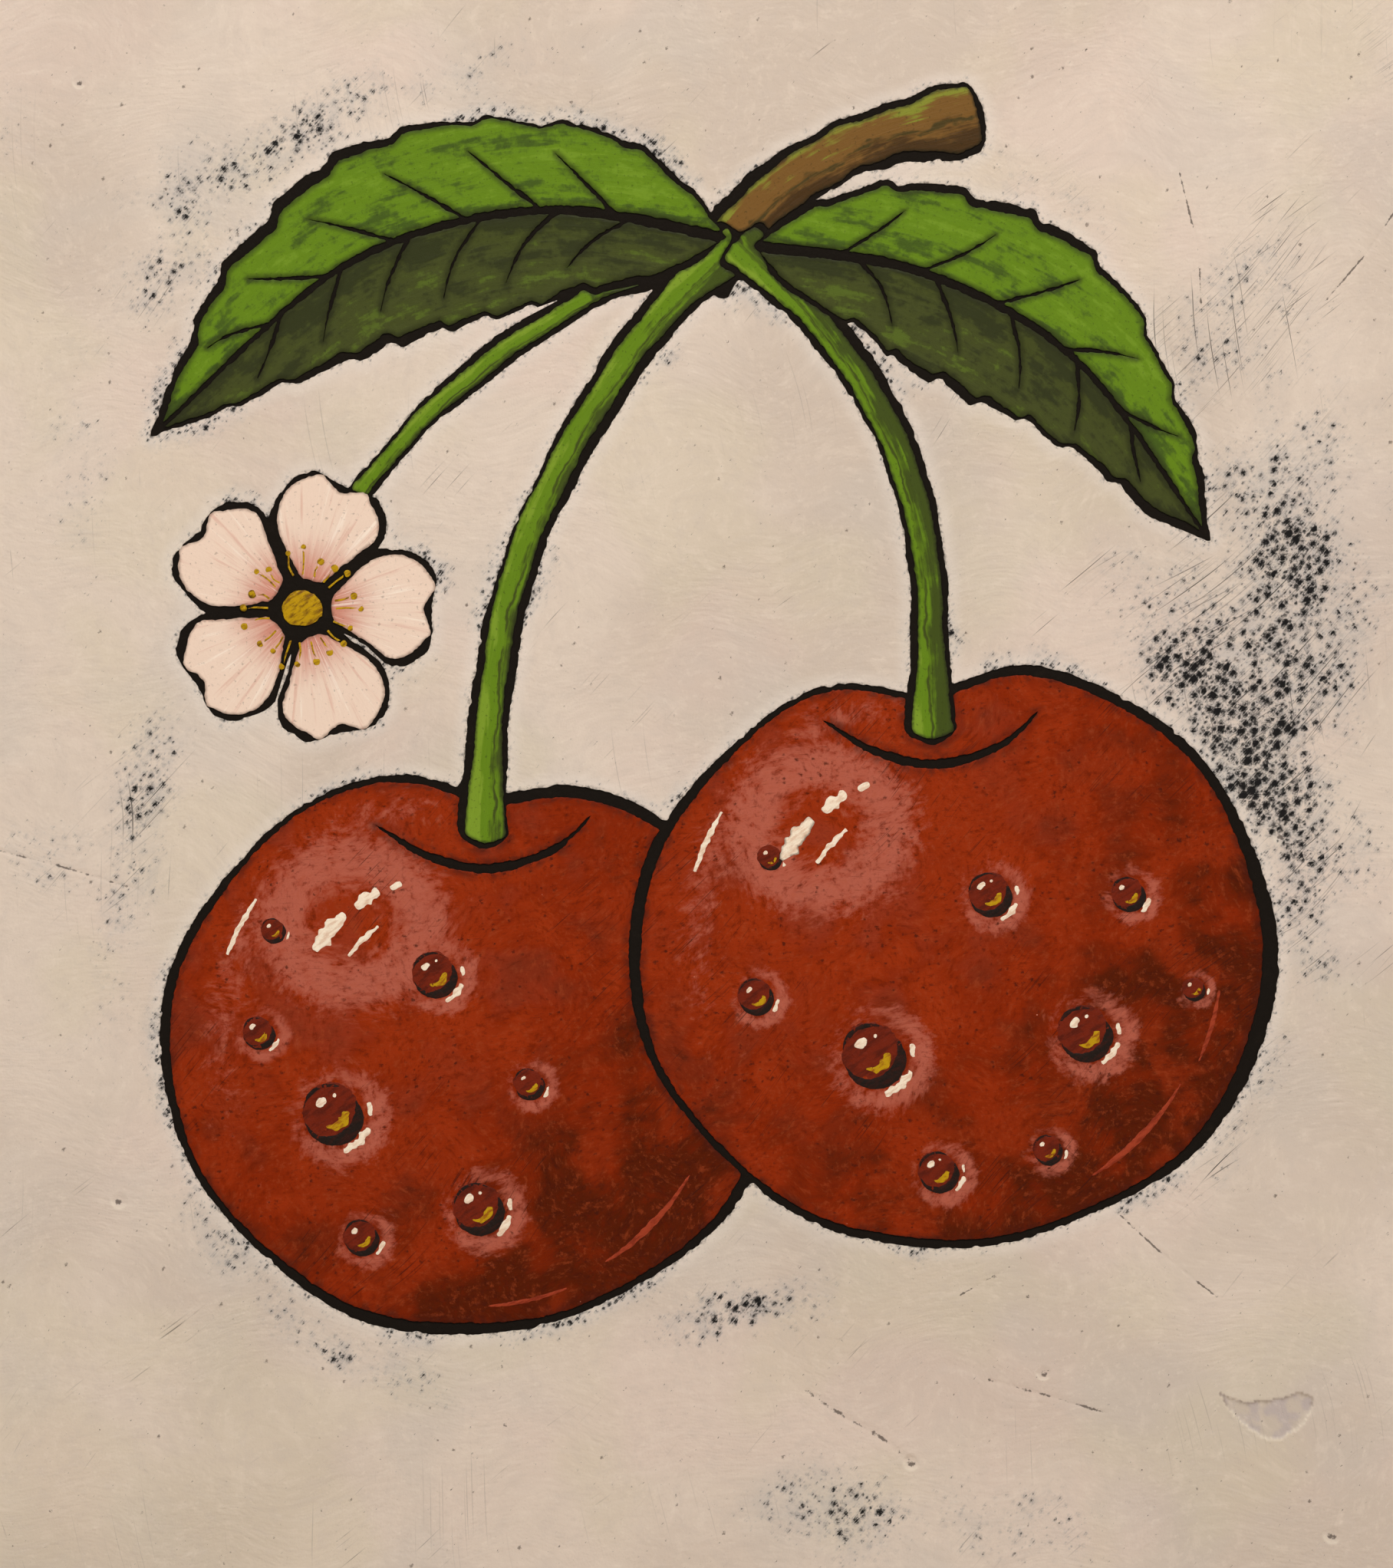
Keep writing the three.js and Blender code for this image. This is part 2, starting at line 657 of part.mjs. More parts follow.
addPiece('face_board', slab(face, BOARD_FRONT, BATTEN_FRONT), FINISHES.board);
addPiece('batten_top', topBatten(), FINISHES.pine);
for (const side of ['bottom', 'left', 'right']) {
  addPiece(`batten_${side}`, mitredBatten(side), FINISHES.pine);
}
addPiece('hanger_plate', hangerPlate(), FINISHES.zinc);
addPiece('hanger_nail_left', hangerNail(-TAB_HOLE_X), FINISHES.zinc);
addPiece('hanger_nail_right', hangerNail(TAB_HOLE_X), FINISHES.zinc);
addPiece('ground_coat', slab(face, GROUND_FRONT, BOARD_FRONT), FINISHES.ground);
layPaint();

export default panel;
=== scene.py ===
"""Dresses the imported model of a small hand-painted wood panel.

The CAD coats of paint are flat patches. Each is laid again here from its own outline, with a ragged
rounded edge, brush relief and the marks of wear. Highlights, dabs and stamens are painted on top. The
board and the battens get their grain and the hanger its worn zinc.

Lengths in the picture are millimetres from the panel's centre: u to the right and v up. Colours are as
painters' charts print them, 0 to 255 a channel.
"""

import math
import random

import bmesh
import bpy
from mathutils import Matrix, Vector, kdtree, noise
from mathutils.geometry import delaunay_2d_cdt, intersect_line_line_2d


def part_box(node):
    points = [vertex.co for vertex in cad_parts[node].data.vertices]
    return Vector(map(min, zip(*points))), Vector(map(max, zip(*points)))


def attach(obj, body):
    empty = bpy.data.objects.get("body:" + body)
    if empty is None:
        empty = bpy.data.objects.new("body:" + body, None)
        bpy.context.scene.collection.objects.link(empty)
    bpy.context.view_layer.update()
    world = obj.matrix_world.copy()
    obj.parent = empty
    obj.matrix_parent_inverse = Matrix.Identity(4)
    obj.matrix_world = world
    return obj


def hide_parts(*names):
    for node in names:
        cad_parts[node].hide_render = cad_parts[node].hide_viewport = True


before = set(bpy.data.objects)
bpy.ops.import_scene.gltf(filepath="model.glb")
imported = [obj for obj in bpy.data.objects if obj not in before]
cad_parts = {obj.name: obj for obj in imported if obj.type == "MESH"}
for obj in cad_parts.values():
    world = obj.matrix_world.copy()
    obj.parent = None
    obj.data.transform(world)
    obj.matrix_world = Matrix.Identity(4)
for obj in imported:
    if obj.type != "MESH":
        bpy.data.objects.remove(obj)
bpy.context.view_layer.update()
noise.seed_set(1)  # noise_vector would differ from run to run without it

bl_info = {
    "name": "Painted Panel",
    "version": (1, 0, 0),
    "blender": (4, 5, 0),
    "location": "View3D > Sidebar > Painted Panel",
    "description": "Paint, wood and hanger of a small hand-painted cradled panel",
    "category": "Object",
}

MM = 0.001
MERGED = 1e-3 * MM  # vertices closer than this are one
BOARD_LOW, BOARD_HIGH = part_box("face_board")
GROUND_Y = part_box("ground_coat")[0].y
CENTRE_Z = (BOARD_LOW.z + BOARD_HIGH.z) / 2
HALF_WIDTH = (BOARD_HIGH.x - BOARD_LOW.x) / 2 / MM
HALF_HEIGHT = (BOARD_HIGH.z - BOARD_LOW.z) / 2 / MM
FULL_COAT = (GROUND_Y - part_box("cream_coat")[0].y) / MM


def rgb(red, green, blue):
    """The colour made linear."""
    return tuple((c / 255 / 12.92 if c <= 10 else ((c / 255 + 0.055) / 1.055) ** 2.4)
                 for c in (red, green, blue))


# ------------------------------------------------------------------------------ settings


def colour(name, description, *channels):
    return bpy.props.FloatVectorProperty(
        name=name, description=description, subtype="COLOR", size=3, min=0, max=1, default=rgb(*channels))


def measure(name, description, default, least, most):
    return bpy.props.FloatProperty(name=name, description=description, unit="LENGTH",
                                   default=default * MM, min=least * MM, max=most * MM)


class PaintSettings(bpy.types.PropertyGroup):
    """Colours and film of the paint."""

    cream: colour("Cream", "Top coat of the field", 219, 202, 186)
    cream_shade: colour("Cream shade", "Darker, greyer passes of the same coat", 206, 189, 173)
    ground: colour("Ground", "Undercoat left bare as the outlines", 24, 19, 14)
    brick: colour("Brick red", "Body of the fruit", 134, 38, 4)
    maroon: colour("Maroon", "Shaded side of the fruit", 84, 26, 3)
    pink: colour("Pink", "Dry-brushed lights on the fruit", 182, 98, 78)
    highlight: colour("Highlight", "Cream-white dabs on the lights", 246, 228, 204)
    leaf: colour("Leaf green", "Lit halves of the leaves and stems", 98, 130, 22)
    olive: colour("Olive", "Shaded halves of the leaves", 66, 72, 30)
    bark: colour("Bark", "Twig", 118, 84, 38)
    petal: colour("Petal", "Blossom", 236, 210, 190)
    ochre: colour("Ochre", "Heart and stamens of the blossom, and the glow in the dew", 186, 146, 10)
    film: measure("Film", "Thickness of a coat above the undercoat", 0.22, 0.05, FULL_COAT)
    ragged: measure("Ragged edge", "How far a coat's edge strays from its line", 0.26, 0, 1)
    brush_relief: measure("Brush relief", "Height of the brush marks", 0.035, 0, 0.1)
    wear: bpy.props.FloatProperty(
        name="Wear", description="How much of the undercoat shows through", subtype="FACTOR",
        default=1.0, min=0, max=1.5)


class WoodSettings(bpy.types.PropertyGroup):
    """Board, battens and hanger."""

    pine: colour("Pine", "Battens", 205, 170, 122)
    pine_line: colour("Pine line", "Late wood of the battens", 168, 122, 74)
    birch: colour("Birch", "Face board", 208, 178, 136)
    zinc: colour("Zinc", "Hanger and nails", 172, 170, 162)
    easing: measure("Easing", "Sanded rounding of the battens' edges", 0.5, 0.05, 2)


def settings():
    return bpy.context.scene.painted_panel_paint


def wood_settings():
    return bpy.context.scene.painted_panel_wood


# ------------------------------------------------------------------------------ patterns


def smooth(value, low, high, end=1.0, start=0.0):
    """start below low, end above high, and a smooth change between them."""
    share = min(1.0, max(0.0, (value - low) / (high - low)))
    return start + (end - start) * share * share * (3 - 2 * share)


def hill(value, centre, width):
    """1 at the centre, falling to a third at the width from it."""
    return math.exp(-((value - centre) / width) ** 2)


def waver(u, v, size, seed, across=None):
    """Noise from -1 to 1, in patches of that size, or that long along u and that far across."""
    return noise.noise(Vector((u / size, v / (across or size), seed)))


def cloud(size, seed, low=None, high=None, end=1.0, start=0.0):
    """A function for patchy noise about 0.5, in patches of that size, or for a smooth step of it."""
    def at(u, v):
        value = 0.5 + 0.5 * noise.fractal(Vector((u / size, v / size, seed)), 1.0, 2.0, 3)
        return value if low is None else smooth(value, low, high, end, start)
    return at


def swept(size, amount, seed):
    """A function for a point's coordinates, strayed by up to about the amount."""
    def strayed(u, v):
        stray = noise.noise_vector(Vector((u / size, v / size, seed))) * amount
        return Vector((u + stray.x, v + stray.y, 0))
    return strayed


# ------------------------------------------------------------------------------ finishes

# Specular levels. Acrylic and sanded wood shine less than the shader's default, and sanded paint less
# still.
PAINT_SHEEN = 0.12
SANDED_SHEEN = 0.055
METAL_SHEEN = 0.5


class Value:
    """A number or vector in a finish. Plain signs build the nodes, and a | b is the greater of two."""

    def __init__(self, finish, socket):
        self.finish, self.socket = finish, socket

    def math(self, operation, other=0.0):
        return self.finish.value("ShaderNodeMath", 0, {0: self, 1: other}, operation=operation)

    def __add__(self, other):
        return self.math("ADD", other)

    def __sub__(self, other):
        return self.math("SUBTRACT", other)

    def __rsub__(self, other):
        return self * -1 + other

    def __mul__(self, other):
        return self.math("MULTIPLY", other)

    def __or__(self, other):
        return self.math("MAXIMUM", other)

    def __abs__(self):
        return self.math("ABSOLUTE")

    def about(self, amount):
        """A noise value as a change either way of half the amount."""
        return (self - 0.5) * amount

    def step(self, low, high, end=1.0, start=0.0):
        """start below low, end above high, and a smooth change between them."""
        return self.finish.value("ShaderNodeMapRange", 0, {
            "Value": self, "From Min": low, "From Max": high, "To Min": start, "To Max": end,
        }, interpolation_type="SMOOTHSTEP")

    def framed(self, size, angle=0.0, at=(0.0, 0.0)):
        """The vector measured in lengths of size[0] along the angle and size[1] across it."""
        return self.finish.value("ShaderNodeMapping", 0, {
            "Vector": self, "Location": (*at, 0), "Rotation": (0, 0, math.radians(angle)),
            "Scale": (*size, size[1])}, vector_type="TEXTURE")

    def noise(self, size=1.0, detail=3.0, roughness=0.55, angle=0.0, at=(0.0, 0.0)):
        """Noise in patches of that size, or for a pair in streaks of that length and width."""
        if isinstance(size, tuple):
            return self.framed(size, angle, at).noise(1.0, detail, roughness)
        return self.finish.value("ShaderNodeTexNoise", "Fac", {
            "Vector": self, "Scale": 1 / size, "Detail": detail, "Roughness": roughness,
        }, noise_dimensions=self.finish.dimensions)

    def parts(self, kind="ShaderNodeSeparateXYZ", socket="Vector"):
        node = self.finish.add(kind, {socket: self})
        return [Value(self.finish, output) for output in node.outputs]

    def cells(self):
        """Distance from the nearest of scattered points a unit apart, and random numbers for each."""
        node = self.finish.add(
            "ShaderNodeTexVoronoi", {"Vector": self, "Scale": 1.0}, voronoi_dimensions="2D")
        distance, tint = (Value(self.finish, node.outputs[key]) for key in ("Distance", "Color"))
        return distance, *tint.parts("ShaderNodeSeparateColor", "Color")

    def peaks(self, reach, spread, stray):
        """How far inside a spot a point is, negative outside. Spots have a radius of reach, give or take
        half the spread, in units of the vector, and the stray ruffles their edges."""
        distance, pick, *_rest = self.cells()
        return pick.about(spread) + stray + (reach - distance)

    def spots(self, radius, softness, share):
        """Round spots in a share of the cells, of up to that radius in units of the vector."""
        distance, pick, other, *_rest = self.cells()
        spot = (pick.step(1 - share, 1.0) * radius - distance).step(-softness, softness)
        return spot * other.step(0.0, 0.9, 1.0, 0.4)


class Finish:
    """A material. The patterns of a flat one lie in the picture's plane."""

    def __init__(self, name, flat=True):
        self.dimensions = "2D" if flat else "3D"
        self.material = bpy.data.materials.new(name)
        self.material.use_nodes = True
        self.tree = self.material.node_tree
        self.tree.nodes.clear()
        self.shader = self.add("ShaderNodeBsdfPrincipled")
        self.add("ShaderNodeOutputMaterial", {"Surface": Value(self, self.shader.outputs["BSDF"])})
        # Millimetres right, up and forwards from the panel's centre.
        self.place = self.value("ShaderNodeMapping", 0, {
            "Vector": self.value("ShaderNodeTexCoord", "Object"), "Location": (0, 0, CENTRE_Z),
            "Rotation": (math.pi / 2, 0, 0), "Scale": (MM, MM, MM)}, vector_type="TEXTURE")

    def add(self, kind, inputs=None, **options):
        node = self.tree.nodes.new(kind)
        for key, value in options.items():
            setattr(node, key, value)
        for key, value in (inputs or {}).items():
            self.feed(node.inputs[key], value)
        return node

    def value(self, kind, output, inputs=None, **options):
        return Value(self, self.add(kind, inputs, **options).outputs[output])

    def feed(self, socket, value):
        """Links a Value, and sets anything else. A colour is a setting's name or three channels."""
        if isinstance(value, Value):
            self.tree.links.new(value.socket, socket)
        elif isinstance(value, str):
            group = wood_settings() if value in WoodSettings.__annotations__ else settings()
            socket.default_value = (*getattr(group, value), 1)
        else:
            socket.default_value = (*rgb(*value), 1) if socket.type == "RGBA" else value

    def attributes(self, *names, kind="Fac"):
        return [self.value("ShaderNodeAttribute", kind, attribute_name=name) for name in names]

    def joined(self, x=0.0, y=0.0, z=0.0):
        return self.value("ShaderNodeCombineXYZ", 0, {"X": x, "Y": y, "Z": z})

    def layers(self, base, *passes):
        """The base colour with each (factor, colour) painted over it in turn."""
        for factor, paint in passes:
            base = self.value("ShaderNodeMix", 2, {0: factor, 6: base, 7: paint}, data_type="RGBA")
        return base

    def done(self, base, roughness, height=None, relief=0.12, sheen=PAINT_SHEEN, metallic=0.0):
        """Sets the shader. relief is the height's full rise in millimetres."""
        for key, value in {"Base Color": base, "Roughness": roughness, "Metallic": metallic,
                           "Specular IOR Level": sheen}.items():
            self.feed(self.shader.inputs[key], value)
        if height is not None:
            self.feed(self.shader.inputs["Normal"], self.value(
                "ShaderNodeBump", 0, {"Strength": 1.0, "Distance": relief * MM, "Height": height}))
        return self.material


# ------------------------------------------------------------------------------ strokes and outlines

LONG_SIDE = 9.0  # millimetres: no sampled curve of a CAD outline has a side this long
LEAST_SIDE = 0.45  # of an outline read from the CAD


def soft_curve(points, spacing, closed):
    """Points evenly along a smooth curve through the given ones. Long sides stay straight."""
    count = len(points)
    curve = []
    for i in range(count if closed else count - 1):
        before, start, end, after = (
            points[(i + k) % count] if closed else points[min(max(i + k, 0), count - 1)]
            for k in (-1, 0, 1, 2))
        span = (end - start).length
        first, middle, last = (
            max(length, 1e-4) ** 0.5 for length in ((start - before).length, span, (after - end).length))
        leave = (end - start) + middle * ((start - before) / first - (end - before) / (first + middle))
        reach = (end - start) + middle * ((after - end) / last - (after - start) / (middle + last))
        steps = max(1, round(span / spacing))
        for t in (step / steps for step in range(steps)):
            curve.append(start.lerp(end, t) if span > LONG_SIDE else (
                start * (2 * t ** 3 - 3 * t ** 2 + 1) + leave * (t ** 3 - 2 * t ** 2 + t)
                + end * (3 * t ** 2 - 2 * t ** 3) + reach * (t ** 3 - t ** 2)))
    return curve if closed else curve + [points[-1].copy()]


def tree_of(points):
    """A tree that finds the points nearest to a place."""
    tree = kdtree.KDTree(len(points))
    for i, point in enumerate(points):
        tree.insert((point.x, point.y, 0), i)
    tree.balance()
    return tree


def all_points(loops):
    return [point for loop in loops for point in loop]


class Path:
    """A stroke's middle line, which tells how far along and across it a point lies."""

    def __init__(self, through, evening=0):
        self.points = soft_curve([Vector(p) for p in through], 0.4, closed=False)
        for _pass in range(evening):
            self.points[1:-1] = [
                (a + b + c) / 3 for a, b, c in zip(self.points, self.points[1:], self.points[2:])]
        self.tree = tree_of(self.points)
        self.lengths = [0.0]
        for a, b in zip(self.points, self.points[1:]):
            self.lengths.append(self.lengths[-1] + (b - a).length)

    def local(self, u, v):
        _co, i, _distance = self.tree.find((u, v, 0))
        run = (self.points[min(i + 1, len(self.points) - 1)] - self.points[max(i - 1, 0)]).normalized()
        away = Vector((u, v)) - self.points[i]
        return self.lengths[i] + away.dot(run), run.x * away.y - run.y * away.x


def front_loops(node):
    """The outlines of a CAD coat's front face."""
    bm = bmesh.new()
    bm.from_mesh(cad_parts[node].data)
    bmesh.ops.remove_doubles(bm, verts=bm.verts, dist=MERGED)
    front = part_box(node)[0].y + 1e-2 * MM
    faces = {f for f in bm.faces if all(v.co.y < front for v in f.verts)}
    links = {}
    for edge in bm.edges:
        if sum(f in faces for f in edge.link_faces) == 1:
            for a, b in (edge.verts, reversed(edge.verts)):
                links.setdefault(a, []).append(b)
    loops = []
    while links:
        loop, here = [], next(iter(links))
        while here in links:
            loop.append(Vector((here.co.x / MM, (here.co.z - CENTRE_Z) / MM)))
            onward = [v for v in links.pop(here) if v in links]
            here = onward[0] if onward else None
        loops.append(loop)
    bm.free()
    return [thinned(loop, LEAST_SIDE) for loop in loops if len(loop) > 2]


def curved_loops(node, spacing):
    return [soft_curve(loop, spacing, closed=True) for loop in front_loops(node)]


def thinned(loop, least):
    """The loop without points closer than that to the one before."""
    kept = []
    for point in loop:
        if not kept or (point - kept[-1]).length > least:
            kept.append(point)
    if len(kept) > 3 and (kept[0] - kept[-1]).length < least:
        kept.pop()
    return kept


def holds(loop, point):
    inside = False
    for a, b in zip(loop, loop[1:] + loop[:1]):
        if (a.y > point.y) != (b.y > point.y):
            inside ^= point.x < a.x + (point.y - a.y) / (b.y - a.y) * (b.x - a.x)
    return inside


def facing(loops):
    """The loops turned so that the paint is always to their left."""
    turned = []
    for loop in loops:
        depth = sum(holds(other, loop[0]) for other in loops if other is not loop)
        anticlockwise = sum(a.x * b.y - b.x * a.y for a, b in zip(loop, loop[1:] + loop[:1])) > 0
        turned.append(loop if anticlockwise == (depth % 2 == 0) else loop[::-1])
    return turned


def outward_of(loop, i):
    along = loop[(i + 1) % len(loop)] - loop[i - 1]
    return Vector((along.y, -along.x)).normalized()


# Waves of a ragged edge: their length in millimetres and their share of its amount.
EDGE_WAVES = ((2.9, 0.5), (1.0, 0.55), (0.4, 0.5))
SPUR_LENGTH = 1.7
FACING_REACH = 2.0  # how near another edge has to be to hold a point back
FACING_SHARE = 0.3  # of the gap that a point may cross
FACING_COSINE = 0.2  # edges face each other when their outward directions' cosine is below this


def ragged(loops, amount, seed, spur=0.0):
    """The loops with the waver and bristle marks of a brushed edge.

    The panel's own sides stay put, and a point strays less where another edge faces it closely.
    """
    ends = tree_of(all_points(loops))
    outs = [outward_of(loop, i) for loop in loops for i in range(len(loop))]
    shifted, index = [], -1
    for loop in loops:
        moved = []
        for point in loop:
            index += 1
            if abs(point.x) > HALF_WIDTH - 0.01 or abs(point.y) > HALF_HEIGHT - 0.01:
                moved.append(point.copy())
                continue
            near = ends.find_range((point.x, point.y, 0), FACING_REACH)
            gaps = [distance for _co, other, distance in near
                    if outs[index].dot(outs[other]) < FACING_COSINE and other != index]
            room = FACING_SHARE * min(gaps, default=FACING_REACH)
            at = Vector((point.x, point.y, seed * 17.3))
            stray = sum(share * noise.noise(at / wave) for wave, share in EDGE_WAVES)
            reach = spur * max(0.0, noise.noise(at / SPUR_LENGTH + Vector((5, 5, 5))) - 0.25)
            moved.append(point + outs[index] * max(-room, min(room, amount * stray + reach)))
        shifted.append(moved)
    return shifted


def crossed(points, sides):
    """The first points of the sides that cross another side."""
    bins = {}
    for side in sides:
        a, b = points[side[0]], points[side[1]]
        for x in range(math.floor(min(a.x, b.x)), math.floor(max(a.x, b.x)) + 1):
            for y in range(math.floor(min(a.y, b.y)), math.floor(max(a.y, b.y)) + 1):
                bins.setdefault((x, y), []).append(side)
    found = set()
    for group in bins.values():
        for i, (a, b) in enumerate(group):
            for c, d in group[i + 1:]:
                apart = len({a, b, c, d}) == 4
                if apart and intersect_line_line_2d(*(points[i] for i in (a, b, c, d))):
                    found |= {a, c}
    return found


def ring_sides(loops):
    """Pairs of neighbours among all the loops' points."""
    sides, first = [], 0
    for loop in loops:
        sides += [(first + i, first + (i + 1) % len(loop)) for i in range(len(loop))]
        first += len(loop)
    return sides


def inset(loops, rim):
    return [point - outward_of(loop, i) * rim for loop in loops for i, point in enumerate(loop)]


def untangled(loops, rim):
    """The loops without the points whose line a rim inside the outline crosses another."""
    for _attempt in range(20):
        sides = ring_sides(loops)
        owners = [(order, i) for order, loop in enumerate(loops) for i in range(len(loop))]
        dropped = {owners[i] for i in crossed(inset(loops, rim), sides) | crossed(all_points(loops), sides)}
        if not dropped:
            break
        loops = [[point for i, point in enumerate(loop) if (order, i) not in dropped]
                 for order, loop in enumerate(loops)]
        loops = [loop for loop in loops if len(loop) > 3]
    return loops


def stroke_loop(through, widths, seed=0, rough=0.12, spacing=0.3, beads=0.0):
    """The outline of one brush stroke with round ends.

    widths are half widths at even shares of its length, and beads is how lumpy they are.
    """
    middle = soft_curve([Vector(p) for p in through], spacing, closed=False)
    last = len(middle) - 1
    length = sum((b - a).length for a, b in zip(middle, middle[1:]))
    left, right = [], []
    for i, point in enumerate(middle):
        run = (middle[min(i + 1, last)] - middle[max(i - 1, 0)]).normalized()
        share = i / last * (len(widths) - 1)
        k = min(int(share), len(widths) - 2)
        width = widths[k] + (widths[k + 1] - widths[k]) * (share - k)
        from_end = min(1.0, min(i, last - i) / last * length / width)
        width *= math.sqrt(1 - (1 - from_end) ** 2)
        for way, edge in ((1, left), (-1, right)):
            lump = 1 + beads * waver(i / last * length, seed, 0.8, 2.2 * way, 1)
            edge.append(point + Vector((-run.y, run.x)) * (way * max(width * lump, 0.02)))
    loop = soft_curve(thinned(left + right[::-1], spacing * 0.6), spacing, closed=True)
    return ragged(facing([loop]), rough, seed)[0]


def disc_loop(u, v, across, up, angle, seed, rough, spacing=0.3):
    """The outline of a round dab."""
    count = max(8, round(2 * math.pi * across / spacing))
    turn = Matrix.Rotation(math.radians(angle), 2)
    angles = (2 * math.pi * i / count for i in range(count))
    return ragged([[Vector((u, v)) + turn @ Vector((across * math.cos(a), up * math.sin(a)))
                    for a in angles]], rough, seed)[0]


# ------------------------------------------------------------------------------ a film of paint

RIM_STEPS = ((0.62, 0.18), (0.30, 0.32), (0.08, 0.50))  # shares of the rim: outwards, then back
SUNK = 0.02  # millimetres that a coat's back lies in the undercoat, so that no two faces lie in one plane
ROW_HEIGHT = 0.87  # of the scattered points, in pitches
SCATTER = 0.12  # of the points, in pitches
ROW_CLEAR = 0.85  # of a row's own distance, that its points keep from every edge
SCATTER_CLEAR = 0.55  # pitches between the innermost row and the scattered points
EXTRA_CLEAR = 0.5  # millimetres between the edge and the extra points
WELDED = 2e-4  # millimetres: vertices of a film closer than this are one


def outside_faces(bm, fences):
    """The faces outside the outlines, found by walking in from the rim and counting fences."""
    inside = {}
    for edge in bm.edges:
        if not edge.is_boundary or edge.link_faces[0] in inside:
            continue
        queue = [edge.link_faces[0]]
        inside[queue[0]] = edge in fences
        while queue:
            here = queue.pop()
            for side in here.edges:
                for other in side.link_faces:
                    if other not in inside:
                        inside[other] = inside[here] != (side in fences)
                        queue.append(other)
    return [face for face, within in inside.items() if not within]


def sheet_inside(points, sides, more=()):
    """A flat mesh of triangles inside the sides. Its attribute says which point made each vertex."""
    verts, edges, faces, origins, edge_origins, _ = delaunay_2d_cdt(
        points + list(more), sides, [], 0, 1e-6, True)
    mesh = bpy.data.meshes.new("sheet")
    mesh.from_pydata([(p.x, 0, p.y) for p in verts], [], faces)
    mesh.attributes.new("made_by", "INT", "POINT").data.foreach_set("value", [
        made[0] if made and made[0] < len(points) else -1 for made in origins])
    bm = bmesh.new()
    bm.from_mesh(mesh)
    fenced = {frozenset(edge) for edge, made in zip(edges, edge_origins) if made}
    fences = {e for e in bm.edges if frozenset(v.index for v in e.verts) in fenced}
    bmesh.ops.delete(bm, geom=outside_faces(bm, fences), context="FACES")
    bmesh.ops.delete(bm, geom=[v for v in bm.verts if not v.link_faces], context="VERTS")
    bm.to_mesh(mesh)
    bm.free()
    return mesh


def film_points(loops, tree, pitch, rim, rows, extra):
    """The points of a film's front: rows beside the rim, a triangular scatter and the extra ones."""
    def edge_distance(point):
        return tree.find((point.x, point.y, 0))[2]

    points = [
        near for loop in loops for i, point in enumerate(loop)
        for row, near in ((row, point - outward_of(loop, i) * (rim + row)) for row in rows)
        if (i + int(row * 10)) % 2 == 0 and edge_distance(near) > ROW_CLEAR * (rim + row)]
    scatter = random.Random(3)
    inner = inset(loops, rim)
    low_u, high_u = min(p.x for p in inner), max(p.x for p in inner)
    low_v, high_v = min(p.y for p in inner), max(p.y for p in inner)
    clear = (rows[-1] if rows else rim) + SCATTER_CLEAR * pitch
    for j in range(int((high_v - low_v) / (ROW_HEIGHT * pitch)) + 1):
        for i in range(int((high_u - low_u) / pitch) + 1):
            u = low_u + (i + 0.5 * (j % 2)) * pitch + scatter.uniform(-SCATTER, SCATTER) * pitch
            v = low_v + j * ROW_HEIGHT * pitch + scatter.uniform(-SCATTER, SCATTER) * pitch
            if low_u < u < high_u and low_v < v < high_v and edge_distance(Vector((u, v))) > clear:
                points.append(Vector((u, v)))
    return points + [point for point in map(Vector, extra) if edge_distance(point) > EXTRA_CLEAR]


def film_of_paint(loops, pitch, relief, level, rim=0.1, rows=(0.45, 0.95), floor=-SUNK, extra=()):
    """A closed film inside the loops: its front, a rounded rim, the wall and the back.

    relief(u, v, edge) is the height above level at a distance edge from the nearest outline. floor is
    the height of the film's back above the undercoat. extra holds more points for fine marks.
    """
    loops = untangled(facing(loops), rim)
    tree = tree_of(all_points(loops))
    outs = [outward_of(loop, i).to_3d().xzy for loop in loops for i in range(len(loop))]
    sides = ring_sides(loops)
    front = sheet_inside(inset(loops, rim), sides, film_points(loops, tree, pitch, rim, rows, extra))
    back = sheet_inside(all_points(loops), sides)
    back.transform(Matrix.Translation((0, -floor, 0)))
    bm = bmesh.new()
    bm.from_mesh(front)
    for vert in bm.verts:
        u, v = vert.co.x, vert.co.z
        vert.co.y = -(level + relief(u, v, tree.find((u, v, 0))[2]))
    made_by = bm.verts.layers.int["made_by"]
    rim_edges = [e for e in bm.edges if e.is_boundary]
    step = min(rim, level - floor)
    for push, drop in (*RIM_STEPS, (0.0, None)):
        grown = bmesh.ops.extrude_edge_only(bm, edges=rim_edges)["geom"]
        ring = [g for g in grown if isinstance(g, bmesh.types.BMVert)]
        for vert in ring:
            vert.co += outs[vert[made_by]] * (push * rim)
            vert.co.y = -floor if drop is None else min(vert.co.y + drop * step, -floor)
        rim_edges = [g for g in grown if isinstance(g, bmesh.types.BMEdge) and g.is_boundary]
    known = len(bm.verts)
    bm.from_mesh(back)
    for mesh in (front, back):
        bpy.data.meshes.remove(mesh)
    bm.verts.ensure_lookup_table()
    bmesh.ops.remove_doubles(bm, verts=ring + bm.verts[known:], dist=WELDED)
    bm.verts.layers.int.remove(bm.verts.layers.int["made_by"])
    bmesh.ops.recalc_face_normals(bm, faces=bm.faces)
    for face in bm.faces:
        face.smooth = True
    bm.transform(Matrix.Translation((0, GROUND_Y, CENTRE_Z)) @ Matrix.Scale(MM, 4))
    return bm


